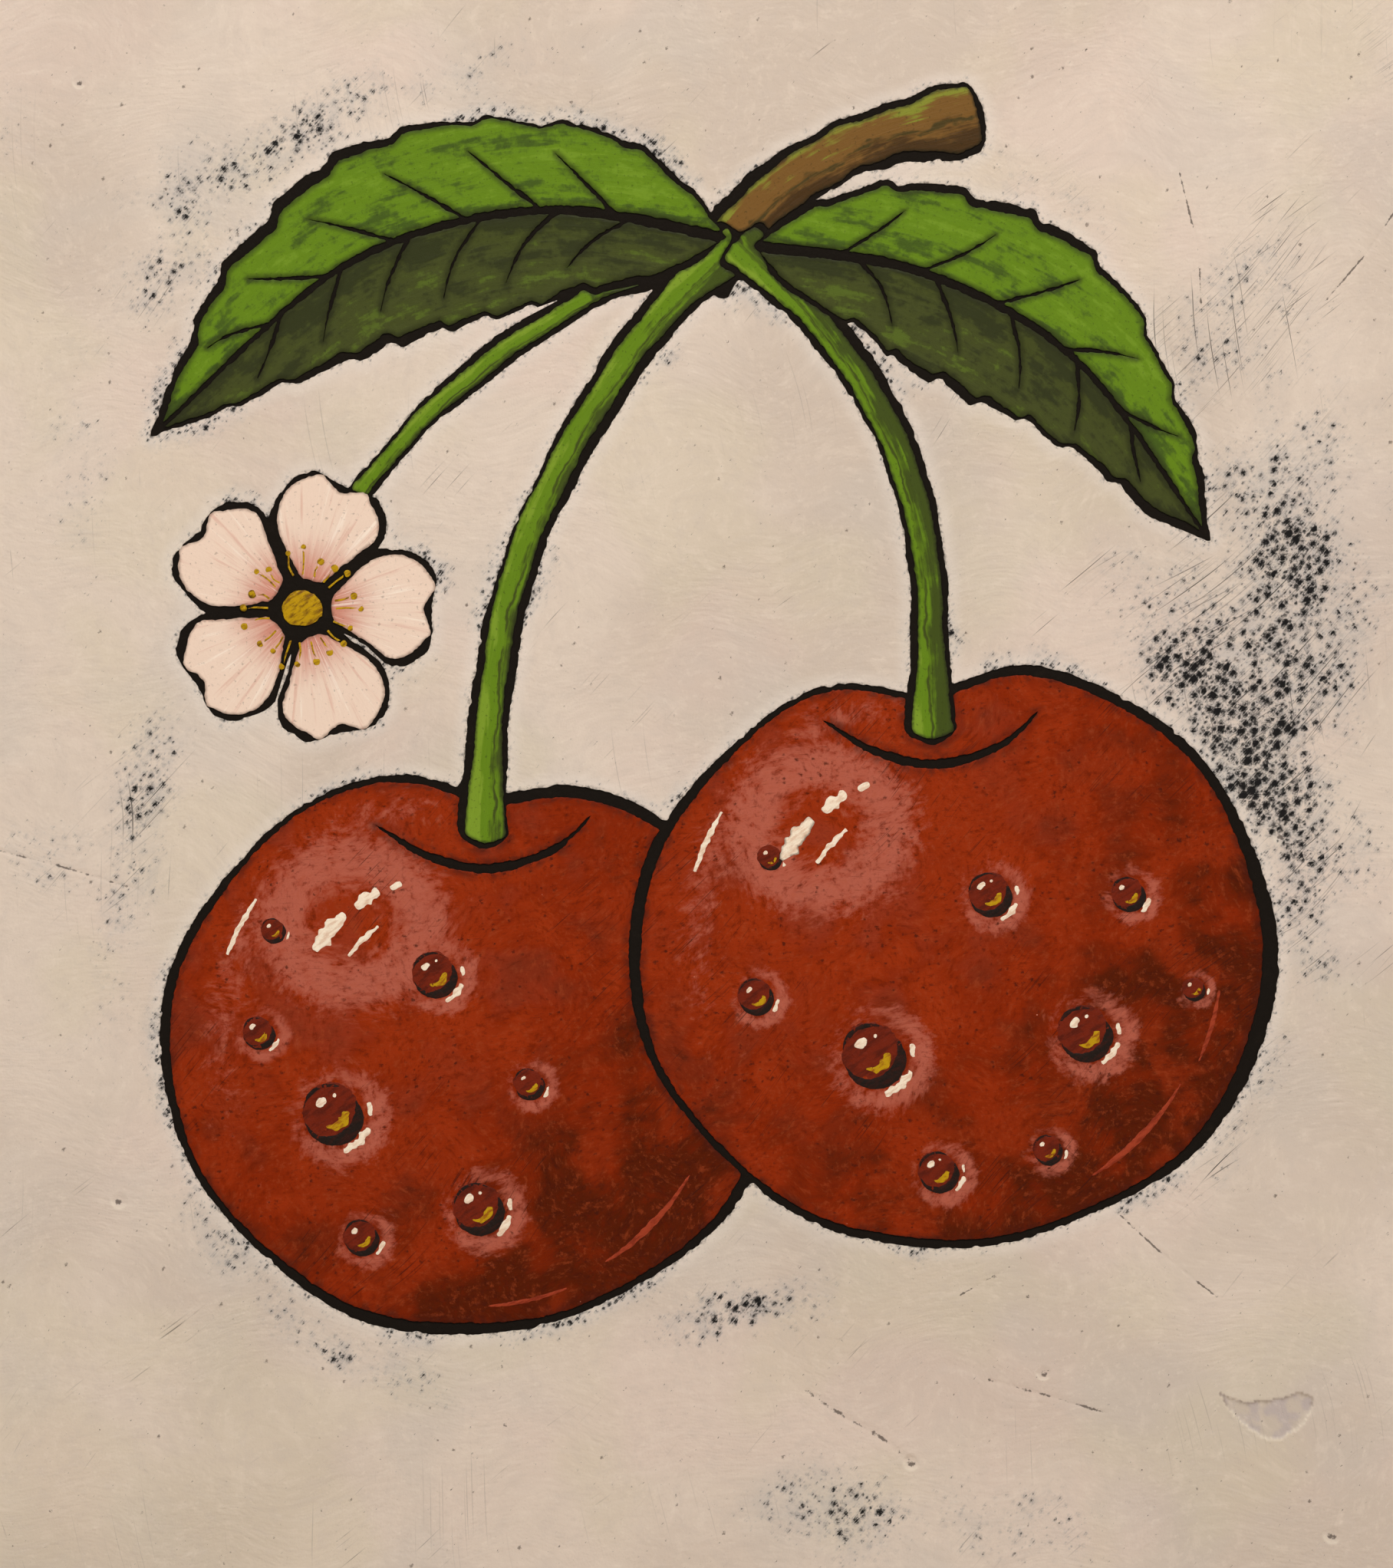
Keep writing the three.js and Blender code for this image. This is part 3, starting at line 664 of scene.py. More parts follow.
def add_piece(bm, name, material, slot, nodes=(), values=None):
    """Makes the piece an object that stands for the CAD nodes. values gives its attributes at (u, v)."""
    mesh = bpy.data.meshes.new(name)
    bm.to_mesh(mesh)
    bm.free()
    mesh.materials.append(material)
    for attribute, value_at in (values or {}).items():
        found = [value_at(v.co.x / MM, (v.co.z - CENTRE_Z) / MM) for v in mesh.vertices]
        vectors = isinstance(found[0], Vector)
        layer = mesh.attributes.new(attribute, "FLOAT_VECTOR" if vectors else "FLOAT", "POINT")
        layer.data.foreach_set("vector" if vectors else "value",
                               [part for vector in found for part in vector] if vectors else found)
    piece = bpy.data.objects.new(name, mesh)
    bpy.context.scene.collection.objects.link(piece)
    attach(piece, "root")
    if nodes:
        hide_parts(*nodes)


def lay_coat(node, material, slot, relief, pitch=0.8, seed=0, values=None, spur=0.0, extra=()):
    """Lays the paint of one CAD coat again, ragged and brushed."""
    paint = settings()
    loops = ragged(facing(curved_loops(node, 0.36)), paint.ragged / MM, seed, spur)
    bm = film_of_paint(loops, pitch, relief, paint.film / MM, extra=extra)
    add_piece(bm, f"{node}_brushed", material, slot, [node], values)


def edge_distances(node):
    """A function for the distance from a coat's own outline, the panel's sides apart."""
    tree = tree_of([p for p in all_points(curved_loops(node, 0.5))
                    if abs(p.x) < HALF_WIDTH - 0.1 and abs(p.y) < HALF_HEIGHT - 0.1])
    return lambda u, v: min(9.0, tree.find((u, v, 0))[2])


# ------------------------------------------------------------------------------ the cream field

# Patches rubbed thin: centre u and v, half length, half width, angle in degrees, how far the cream is
# worn through, and how much the patch is scratched.
WORN_PATCHES = (
    (75, 7, 21, 7, 124, 1.35, 0.9),
    (80, 25, 28, 11, 84, 1.0, 1.0),
    (83, -14, 14, 6, 96, 0.75, 0.8),
    (72, 62, 18, 9, 60, 0.42, 1.0),
    (-56, 88, 21, 4.4, 28, 0.8, 0.25),
    (-70, 76, 13, 9, 50, 0.62, 0.2),
    (-32, 97, 15, 3.5, 12, 0.5, 0.3),
    (-84, 46, 17, 5, 88, 0.42, 0.2),
    (-76, -6, 24, 4.5, 80, 0.6, 0.35),
    (-86, -10, 11, 5, -8, 0.45, 0.3),
    (-60, -68, 16, 4.5, -46, 0.55, 0.25),
    (-44, -80, 14, 3.5, -22, 0.5, 0.2),
    (7, -72, 12, 4, 10, 0.75, 0.2),
    (20, -100, 13, 6, -10, 0.72, 0.05),
    (44, -101, 16, 6, 0, 0.42, 0.05),
    (47, 82, 16, 5, -24, 0.3, 0.5),
    (76, -44, 13, 3.5, 66, 0.4, 0.4),
    (-95, 90, 8, 16, 0, 0.25, 0.1),
    (98, 96, 16, 6, -50, 0.2, 0.5),
)
WORN, SCRATCHED = 5, 6  # columns of the table
# Passes of the cream that differ: seed, size of the patches, strength and colour.
CREAM_TINTS = (
    (11.1, 33, 0.32, (220, 196, 183)),
    (12.9, 24, 0.3, (201, 191, 180)),
    (14.3, 29, 0.38, (212, 198, 172)),
)
# Colours of the flake's bare floor and its bruises, the painted highlight on the lower lips of the dents
# and the flake, and the painted shadow under the flake's upper rim.
BARED, BRUISED, LIP_HIGHLIGHT, HOLLOW_SHADOW = (Vector(rgb(*channels)) for channels in (
    (199, 184, 168), (184, 170, 166), (238, 226, 206), (128, 108, 90)))
# Scratches: the points of each, its half width and its depth. A negative depth is a ridge.
SCRATCHES = (
    (((15, -83), (20, -86.4), (25.5, -89.6), (29, -92.5)), 0.45, 0.09),
    (((40, -81.6), (47, -83.4), (55.9, -86)), 0.3, 0.07),
    (((-100, -8), (-88, -11), (-76, -14.6)), 0.28, 0.07),
    (((50, 86), (55, 86.7), (61, 86.2)), 0.55, -0.06),
    (((58, -59), (64, -64.5), (71, -70)), 0.22, 0.05),
    (((36, -70), (43, -66)), 0.2, 0.03),
    (((86, 66), (92, 73), (98, 82)), 0.22, 0.05),
    (((66, 84), (68.5, 74), (69, 66)), 0.22, 0.05),
    (((-90, 26), (-86, 29.5), (-80, 31)), 0.5, -0.04),
)
# Dents: centre u and v, radius and depth.
DENTS = (
    (29.4, -92.8, 0.9, 0.16),
    (47.5, -80.6, 0.8, 0.15),
    (80, -7, 0.9, 0.17),
    (-79, -57, 0.9, 0.15),
    (87, -102.7, 1.0, 0.14),
    (56.5, -37.5, 0.6, 0.12),
    (-84.5, 96, 0.7, 0.1),
)
# A flake torn off the top coat: its outline, and how deep it went.
FLAKE = ((71.5, -83.2), (75, -84.6), (79, -84.1), (83.6, -83.3), (84.4, -84.8), (81.8, -88.4),
         (78.6, -89.6), (74.8, -87.6))
FLAKE_DEPTH = 0.085
FLAKE_TOP = (-86.2, -84.6)  # between these heights its shaded upper rim begins
DEEPEST = 0.19  # no mark goes deeper, so that the film stays whole


def patch_at(u, v, column):
    """The strongest patch at a point, by the wear or else the scratches that the column holds."""
    strongest = 0.0
    for patch in WORN_PATCHES:
        turn = math.radians(patch[4])
        du, dv = u - patch[0], v - patch[1]
        along = (du * math.cos(turn) + dv * math.sin(turn)) / patch[2]
        across = (dv * math.cos(turn) - du * math.sin(turn)) / patch[3]
        strongest = max(strongest, patch[column] * math.exp(-0.9 * (along * along + across * across)))
    return strongest


def dents_at(u, v):
    """Each dent near a point: how far right, up and in all from its middle, in radii, and its depth."""
    for cu, cv, radius, depth in DENTS:
        right, up = (u - cu) / radius, (v - cv) / radius
        if math.hypot(right, up) < 3:
            yield right, up, math.hypot(right, up), depth


class Field:
    """The tint, the wear and the marks of the cream. edge_at(u, v) is the distance from a black line."""

    def __init__(self, edge_at):
        paint = settings()
        self.edge_at, self.wear = edge_at, paint.wear
        self.height = paint.brush_relief / MM
        self.cream, self.shade = Vector(paint.cream), Vector(paint.cream_shade)
        self.shaded = cloud(46, 3.3, 0.35, 0.68)
        self.tints = [(cloud(size, seed, 0.52, 0.72, strength), Vector(rgb(*tint)))
                      for seed, size, strength, tint in CREAM_TINTS]
        self.bruises = cloud(2.4, 6.1, 0.35, 0.65)
        self.patchy = cloud(6.5, 1.7)
        self.lined = cloud(19, 7.7, 0.52, 0.66, 0.55)
        self.scratches = [(Path(through), width, depth) for through, width, depth in SCRATCHES]
        self.flake = ragged([soft_curve([Vector(p) for p in FLAKE], 0.5, closed=True)], 0.45, 5)[0]
        self.flake_tree = tree_of(self.flake)

    def scratches_at(self, u, v):
        """Each scratch at a point: how far along and, in half widths, across it, and its depth."""
        for path, width, depth in self.scratches:
            length, offset = path.local(u, v)
            if abs(offset) < 4 * width and -0.3 < length < path.lengths[-1] + 0.3:
                yield length, abs(offset) / width, depth

    def flake_at(self, u, v):
        """The flake's nearest edge point and the distance from it, and whether the point is torn bare."""
        if not (69 < u < 87 and -92 < v < -81):
            return None
        nearest, _i, away = self.flake_tree.find((u, v, 0))
        return nearest, away, holds(self.flake, Vector((u, v)))

    def tint(self, u, v):
        """The broad tint: rosy, grey and sallow passes of the brush, and the bare flake, with painted
        highlights on the lower lips of the dents and the flake and painted shadow under the flake's upper
        rim.
        """
        found = self.cream.lerp(self.shade, self.shaded(u, v))
        for strength, other in self.tints:
            found = found.lerp(other, strength(u, v))
        for right, up, reach, _depth in dents_at(u, v):
            # Painted highlight on the lower lip of each dent.
            found = found.lerp(LIP_HIGHLIGHT, 0.55 * hill(reach, 1.1, 0.24) * smooth(up + 0.4 * right, 0.1, -0.9))
        flake = self.flake_at(u, v)
        if flake:
            nearest, away, bare = flake
            top = smooth(nearest.y, *FLAKE_TOP)
            if bare:
                found = found.lerp(BARED.lerp(BRUISED, self.bruises(u, v)), 0.85)
                # Painted shadow under the flake's upper rim, and a painted highlight along its lower rim.
                found = found.lerp(HOLLOW_SHADOW, 0.6 * top * hill(away, 0, 0.38))
            found = found.lerp(LIP_HIGHLIGHT, 0.65 * (1 - top) * hill(away, 0, 0.25))
        return found

    def thin(self, u, v):
        """How far the cream is rubbed through, where 0 is whole."""
        by_line = smooth(self.edge_at(u, v), 4.5, 0.3) * self.lined(u, v)
        worn = max(patch_at(u, v, WORN), by_line)
        patchy = 0.7 * (self.patchy(u, v) - 0.5) * smooth(worn, 0.0, 0.4)
        return self.wear * (worn * (1 + 0.35 * waver(u, v, 11, 4.2)) + patchy)

    def scratched(self, u, v):
        return self.wear * (patch_at(u, v, SCRATCHED) + 0.9 * (self.patchy(u, v) - 0.5))

    def sunk_dirt_and_shade(self, u, v):
        """How much dirt and painted shade lie at a point, in the scratches and the dents."""
        dirt_and_shade = 0.0
        for length, across, depth in self.scratches_at(u, v):
            if depth > 0:
                patchy = 0.55 + 0.9 * waver(length, depth, 2.2, 6, 1 / 90)
                dirt_and_shade = max(dirt_and_shade, max(0.0, patchy) * hill(across, 0, 0.75))
        # Dirt and painted shade in each dent, darker towards its lower side.
        for _right, up, reach, _depth in dents_at(u, v):
            dirt_and_shade = max(dirt_and_shade, 0.95 * hill((reach / 0.72) ** 2, 0, 1) * smooth(up, -0.4, 0.5, 0.2, 1.0))
        return min(dirt_and_shade, 1.0)

    def relief(self, u, v, edge):
        """The height of the brush marks, lips, scratches, dents and flake."""
        swing = 0.12 + 0.35 * waver(u, v, 60, 9)
        along = u * math.cos(swing) + v * math.sin(swing)
        across = v * math.cos(swing) - u * math.sin(swing)
        marks = waver(along, across, 17, 2, 1.9) + 0.6 * waver(along, across, 9, 7, 3.7)
        rise = self.height * marks + 0.03 * waver(u, v, 13, 1)
        rise += 0.055 * max(0.0, 0.35 + 0.9 * waver(u, v, 3.1, 8)) * hill(edge, 0.4, 0.35)
        for _length, share, depth in self.scratches_at(u, v):
            rise += 0.3 * abs(depth) * hill(share, 2, 0.5 ** 0.5) - depth * hill(share, 0, 1)
        for _right, _up, reach, depth in dents_at(u, v):
            rise += depth * (0.3 * hill(reach, 1.35, 0.3) - hill(reach ** 2, 0, 1))
        flake = self.flake_at(u, v)
        if flake:
            _nearest, away, bare = flake
            torn = FLAKE_DEPTH * min(1, away / 0.3) + 0.02 * waver(u, v, 1, 3)
            rise += -torn if bare else 0.05 * hill(away, 0, 0.5)
        return max(rise, -DEEPEST)

    def fine_points(self):
        """More points for the film where it is dented, scratched or torn."""
        points = []
        for path, width, _depth in self.scratches:
            for before, point, after in zip(path.points, path.points[1:], path.points[2:]):
                run = after - before
                side = Vector((-run.y, run.x)).normalized() * (0.5 * width)
                points += [point + side * k for k in range(-3, 4)]
        for u, v, radius, _depth in DENTS:
            for ring in range(1, 7):
                for k in range(6 * ring):
                    turn, reach = 2 * math.pi * k / (6 * ring), 0.3 * radius * ring
                    points.append(Vector((u + reach * math.cos(turn), v + reach * math.sin(turn))))
        step = 0.28
        low_u, low_v = min(p[0] for p in FLAKE) - 1, min(p[1] for p in FLAKE) - 1
        points += [Vector((low_u + i * step + 0.03 * (j % 3), low_v + j * step))
                   for i in range(int(15 / step)) for j in range(int(8.5 / step))]
        return points


def cream_finish():
    f = Finish("cream_top_coat")
    thin, scratched, hairy, sunk_dirt_and_shade, edge = f.attributes("thin", "scratched", "hairy", "sunk_dirt_and_shade", "edge")
    tint, brushed, curved = f.attributes("tint", "brushed", "curved", kind="Vector")

    # The marks of the brush, which turns as it goes. Where the film is thin the black cools the cream.
    streak = brushed.noise((8, 1.6), 3, 0.6, 4)
    mottle = brushed.noise(2.6, 3, 0.6)
    ridge_light_and_shade = brushed.noise((1.5, 0.95), 3, 0.7, 6)
    base = f.layers(
        tint,
        (streak.step(0.54, 0.75, 0.13), (197, 180, 166)),
        (streak.step(0.46, 0.28, 0.13), (231, 217, 203)),
        (mottle.step(0.5, 0.7, 0.2), (202, 187, 175)),
        (mottle.step(0.46, 0.28, 0.22), (229, 213, 196)),
        # Painted highlights on the brush ridges, and painted shade between them.
        (ridge_light_and_shade.step(0.58, 0.74, 0.16), (238, 225, 209)),
        (ridge_light_and_shade.step(0.4, 0.28, 0.12), (192, 176, 164)),
        (edge.step(2.4, 0.4, 0.4), (226, 215, 204)),
        (thin.step(0.08, 0.9, 0.36) * mottle.step(0.32, 0.7, 1.0, 0.3), (178, 177, 176)),
    )

    # Black of the undercoat through the worn film: the peaks of its stipple, dragged along the sanding.
    burr = f.place.noise(0.27, 3, 0.8).about(0.9)
    ruffle = burr + f.place.noise((2.0, 0.14), 1, angle=49).about(0.6)
    coarse = f.place.framed((1.4, 1.2), 52).peaks(thin.step(0.0, 1.2, 0.32, -0.34), 0.56, ruffle)
    frayed = thin + edge.step(1.7, 0.2, 0.6) * mottle.step(0.4, 0.56)
    small = f.place.framed((0.85, 0.65), 52, (40, 7)).peaks(frayed.step(0.0, 1.3, 0.2, -0.42), 0.6, ruffle)
    blots = (coarse.step(-0.13, 0.15) | small.step(-0.12, 0.16, 0.92)) * thin.step(0.05, 0.5, 1.0, 0.8)
    breath = (coarse.step(-0.5, 0.02) | small.step(-0.45, 0.05)) * frayed.step(0.05, 0.5, 0.42)

    # Thin smears join the blots where the wear is deepest.
    soft = f.place.noise(0.7, 3, 0.65)
    smears = abs(soft - 0.5).step(0.045, 0.008) * thin.step(0.45, 1.0, 0.85) * coarse.step(-0.55, -0.15)

    # Sanding scratches: faint short scuffs, and long hairlines that thin out away from the wear.
    scuffs = curved.noise((13, 0.17), 1, angle=47).step(0.62, 0.8) * scratched.step(0.2, 0.9, 0.62)
    hairs = 0.0
    for length, angle, at, share, strength in (
            (58, 47, (17, 5), 0.8, scratched.step(0.08, 0.5)),
            (46, 36, (70, 31), 0.7, scratched.step(0.12, 0.6, 0.9)),
            (48, 98, (30, 11), 0.45, scratched.step(0.12, 0.6, 0.8) | hairy * 0.2)):
        hairs = curved.framed((length, 0.65), angle, at).spots(0.1, 0.05, share) * strength | hairs

    # A few dark grains anywhere, the dark fringe of the black line's bristles, and dirt with painted shade
    # in the scratches and the dents.
    grains = f.place.framed((3.3, 2.5), 58, (3, 3)).peaks(-0.42, 1.02, burr * 0.35).step(-0.02, 0.05, 0.7)
    fringe = edge.step(0.5, 0.02) * soft.step(0.46, 0.66, 0.7)
    # Dirt with painted shade darkens the scratches and the dents.
    dirt_and_shade = (sunk_dirt_and_shade + soft.about(1.4)).step(0.42, 0.72) * sunk_dirt_and_shade.step(0.05, 0.3, 0.76)
    base = f.layers(
        base,
        (breath, (134, 135, 137)),
        (grains, (84, 70, 60)),
        (dirt_and_shade, (62, 50, 46)),
        ((blots | smears | scuffs | hairs | fringe) * 0.98, (8, 8, 10)),
    )
    height = f.place.noise(0.34, 2, 0.6) * 0.4 + brushed.noise((1.9, 0.9), 1)
    return f.done(base, mottle.step(0.3, 0.7, 0.58, 0.46), height, 0.09, SANDED_SHEEN)


class PANEL_OT_cream(bpy.types.Operator):
    """Lay the cream field round the figure, with its brush marks, wear, dents and torn flake"""

    bl_idname = "painted_panel.cream"
    bl_label = "Cream field"

    def execute(self, context):
        material = cream_finish()
        for order, node in enumerate(sorted(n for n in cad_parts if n.startswith("cream_coat"))):
            field = Field(edge_distances(node))
            lay_coat(node, material, "cream_paint", field.relief, 0.92, order + 1, {
                "tint": field.tint,
                "thin": field.thin,
                "scratched": field.scratched,
                "hairy": cloud(26, 9.4, 0.5, 0.66),
                "sunk_dirt_and_shade": field.sunk_dirt_and_shade,
                "edge": field.edge_at,
                "brushed": swept(16, 5.5, 2.1),
                "curved": swept(34, 5.0, 5.2),
            }, 0.7, field.fine_points())
        return {"FINISHED"}


# ------------------------------------------------------------------------------ the black ground


class PANEL_OT_ground(bpy.types.Operator):
    """Give the black undercoat its rolled stipple"""

    bl_idname = "painted_panel.ground"
    bl_label = "Black ground"

    def execute(self, context):
        f = Finish("rolled_black")
        stipple = f.place.noise(0.8, 4, 0.6)
        base = f.layers("ground", (f.place.noise(2.4, 4, 0.65).step(0.56, 0.8, 0.35), (38, 31, 24)))
        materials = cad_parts["ground_coat"].data.materials
        materials.clear()
        materials.append(f.done(base, stipple.step(0.3, 0.7, 0.66, 0.5), stipple, 0.09, SANDED_SHEEN))
        return {"FINISHED"}


# ------------------------------------------------------------------------------ cherries


class Cherry:
    """A cherry as drawn: its centre, radius, seed and the light patch on it. The dew is a table of drops,
    each by its place from the centre and its radius. The glint is the arc of its small edge light."""

    def __init__(self, at, radius, light, seed, glint, dew):
        self.at, self.radius, self.light, self.seed = at, radius, light, seed
        self.glint, self.dew = glint, dew

    def shade(self, u, v):
        """From 0 in the light to 1 in the dark."""
        (cu, cv), (lu, lv) = self.at, self.light
        away = math.hypot(u - lu, v - lv) / (2 * self.radius)
        rim = max(0.0, 0.76 * (u - cu) - 0.65 * (v - cv)) / self.radius
        return min(1.0, max(0.0, 0.1 + 0.62 * away + 0.46 * rim ** 2))

    def pink(self, u, v):
        """Where the pink is dry-brushed: round the light, along the lit edge and beside the dew."""
        (cu, cv), (lu, lv) = self.at, self.light
        halo = 0.95 * hill(math.hypot((u - lu) * 0.9, v - lv), 8.5, 4.6)
        lit = max(0.0, math.cos(math.atan2(v - cv, u - cu) - 2.5)) ** 1.5
        lit_edge = 0.62 * hill(math.hypot(u - cu, v - cv) / self.radius, 0.86, 0.09) * lit
        beside = 0.0
        for du, dv, radius in self.dew:
            right, up = u - cu - du, v - cv - dv
            away = math.hypot(right - 0.25 * radius, up + 0.1 * radius) / radius
            side = 0.72 + 0.28 * math.cos(math.atan2(up, right) + 0.6)
            beside = max(beside, side * hill(away, 1.45, 0.55))
        return max(halo, lit_edge, 0.95 * beside)


CHERRIES = {
    "cherry_left": Cherry((-31, -36), 39.5, (-47, -19), 11, (-86, -68), (
        (-19, -9, 3.9), (-5, 10, 2.9), (-29, 2, 2.1), (1, -22, 3.3), (-15, -26, 2.3), (8, -5, 2.0),
        (-27, 16, 1.6))),
    "cherry_right": Cherry((35, -23), 41, (17, -6), 23, (-24, -8), (
        (-11, -14, 4.1), (5, 8, 2.8), (18, -11, 3.5), (24, 8, 2.2), (-2, -30, 2.6), (-27, -6, 2.3),
        (-25, 13, 1.6), (13, -27, 1.9), (33, -5, 1.5))),
}


def cherry_finish(name):
    f = Finish(f"{name}_red")
    shade, patch, pink, warm, pitted, cut, edge = f.attributes(
        "shade", "patch", "pink", "warm", "pitted", "cut", "edge")
    brushed, curved = f.attributes("brushed", "curved", kind="Vector")

    # Shaded tones, then scrubbed darker patches, warm thin ones and a rosy scrub in the light.
    smear = brushed.noise((6, 1.5), 3, 0.6, 24)
    blotch = brushed.noise(2.0, 4, 0.68)
    sponge = brushed.noise(1.0, 3, 0.75)
    scrub = brushed.noise((2.1, 1.3), 4, 0.7, 12, (30, 8))
    dry = brushed.noise((2.4, 0.9), 4, 0.7, 24)
    tone = shade + patch.about(0.8) + smear.about(0.4) + blotch.about(0.3)
    rub = pink + dry.about(0.8) + scrub.about(0.5) + blotch.about(1.1)
    base = f.layers(
        (150, 47, 10),
        (tone.step(0.08, 0.34), "brick"),
        (tone.step(0.36, 0.56), (116, 33, 3)),
        (tone.step(0.54, 0.84), "maroon"),
        (patch.step(0.46, 0.7) * shade.step(0.55, 0.12, 0.5), (152, 60, 36)),
        (warm * 0.55, (148, 46, 10)),
        (blotch.step(0.54, 0.72, 0.3), (154, 60, 24)),
        (blotch.step(0.46, 0.28, 0.4), (102, 27, 2)),
        (scrub.step(0.48, 0.66) * tone.step(0.46, 0.8, 0.5), (66, 19, 6)),
        (rub.step(0.3, 1.0, 0.85), "pink"),
        (sponge.step(0.52, 0.72, 0.22), (164, 74, 38)),
        (sponge.step(0.47, 0.28, 0.36), (96, 26, 6)),
    )

    # Pores of the stipple, short level scuffs, cuts, a darker edge and stray pale flecks.
    grain = f.place.noise(0.42, 3, 0.68)
    pits = curved.framed((1.25, 0.9), 8).peaks(0.0, 0.6, grain.about(1.0))
    specks = f.place.framed((5.2, 4.1), 0, (31, 17)).peaks(-0.45, 0.95, grain.about(0.12))
    base = f.layers(
        base,
        (pits.step(-0.06, 0.24) * pitted, (70, 24, 11)),
        (curved.noise((2.6, 0.22), 2, 0.6, 3).step(0.62, 0.78, 0.4), (92, 32, 14)),
        (curved.noise((8, 0.17), 1, angle=48, at=(50, 9)).step(0.63, 0.78, 0.7) * cut, (54, 22, 14)),
        (edge.step(1.5, 0.1, 0.75) * blotch.step(0.36, 0.66), (66, 22, 12)),
        (specks.step(0.0, 0.02), (226, 150, 122)),
    )
    height = f.place.noise((4.5, 0.25), 2, 0.6, 8) * 0.15 + grain * 0.45
    return f.done(base, blotch.step(0.3, 0.7, 0.52, 0.36), height, sheen=SANDED_SHEEN)


def film_relief(seed):
    """Gentle relief for a coat, with a soft lip at its edge."""
    height = settings().brush_relief / MM

    def relief(u, v, edge):
        rise = height * waver(u, v, 6, seed, 1.2) + 0.02 * waver(u, v, 9, seed)
        return rise + 0.03 * hill(edge, 0.35, 0.3) * (0.6 + waver(u, v, 2.5, seed))

    return relief


class PANEL_OT_cherries(bpy.types.Operator):
    """Lay the two red coats, scumbled from pink to maroon"""

    bl_idname = "painted_panel.cherries"
    bl_label = "Cherries"

    def execute(self, context):
        for name, cherry in CHERRIES.items():
            relief = film_relief(cherry.seed)
            lay_coat(name, cherry_finish(name), "red_paint", relief, 0.8, cherry.seed, {
                "shade": cherry.shade,
                "patch": cloud(7.5, 3.1),
                "warm": cloud(10, 8.3, 0.54, 0.68),
                "pink": cherry.pink,
                "pitted": cloud(6, 5.9, 0.38, 0.66, 0.8, 0.15),
                "cut": cloud(14, 6.6, 0.5, 0.66),
                "edge": edge_distances(name),
                "brushed": swept(9, 3.0, 1.4),
                "curved": swept(20, 3.0, 2.9),
            })
        return {"FINISHED"}


# ------------------------------------------------------------------------------ stems, leaves and twig

NODE_AT = (6, 74)
# The middle lines of the drawn strokes, from the twig outwards.
STROKES = {
    "stem_left": (NODE_AT, (-5, 64), (-19, 43), (-27, 20), (-28, -6)),
    "stem_right": (NODE_AT, (17, 63), (27, 47), (31.5, 30), (32, 8)),
    "blossom_stalk": ((2, 72), (-14, 67), (-33, 54), (-46, 40), (-52, 28)),
    "twig": ((1, 69), (9, 79), (22, 87.5), (38, 91.5)),
    "leaf_left": ((3, 75), (-22, 78.5), (-48, 71), (-73, 49)),
    "leaf_right": ((9, 73.5), (31, 70), (52, 58), (69, 35)),
}


def lay_stroke(node, stroke, material, slot, seed, pitch=0.6):
    """Lays a coat whose finish runs along a drawn stroke."""
    path = Path(STROKES[stroke], evening=400)
    lay_coat(node, material, slot, film_relief(seed), pitch, seed, {
        "along": lambda u, v: path.local(u, v)[0],
        "across": lambda u, v: path.local(u, v)[1],
        "edge": edge_distances(node),
    })


def stem_finish(name, half_width, lit, dark, lit_side):
    """A drawn stem: lit along one side, hatched darker along the other."""
    f = Finish(name)
    along, across, edge = f.attributes("along", "across", "edge")
    run = f.joined(along, across)
    side = across * (lit_side / half_width)
    streak = run.noise((11, 0.8), 4, 0.62)
    patch = run.noise((7, 5), 3, 0.6)
    fine = f.place.noise(0.5)
    tone = side + streak.about(1.7) + patch.about(2.1)
    base = f.layers(
        lit,
        (tone.step(0.1, -0.55, 0.92), dark),
        (abs(side + patch.about(1.2)).step(0.16, 0.04) * streak.step(0.38, 0.55, 0.8), (52, 50, 22)),
        (tone.step(0.7, 1.2, 0.5), (140, 166, 52)),
        (edge.step(0.55, 0.05, 0.75), (34, 32, 18)),
        (fine.step(0.62, 0.74, 0.45), (40, 40, 20)),
    )
    return f.done(base, streak.step(0.3, 0.7, 0.55, 0.4), run.noise((5, 0.3)) * 0.4 + fine * 0.25)


def leaf_finish(name, lit, dark, light):
    """Half a leaf: a cloudy body colour, darker to the rib and the edge, with faint streaks along it."""
    f = Finish(name)
    along, across, edge = f.attributes("along", "across", "edge")
    run = f.joined(along, across)
    soft = run.noise((8, 3.2), 3, 0.6)
    streak = run.noise((6, 0.7), 3, 0.62)
    mottle = f.place.noise(1.2, 4, 0.7)
    tone = soft.about(1.5) + streak.about(0.55) + mottle.about(0.6) + abs(across).step(4.6, 0.6, 0.3)
    base = f.layers(
        lit,
        (tone.step(0.02, 0.36, 0.9), dark),
        (tone.step(-0.08, -0.34, 0.6), light),
        (edge.step(1.0, 0.05, 0.7), (38, 40, 16)),
        (f.place.noise(0.5).step(0.62, 0.76, 0.4), (38, 38, 20)),
    )
    return f.done(base, soft.step(0.3, 0.7, 0.56, 0.42), streak * 0.4 + mottle * 0.35)


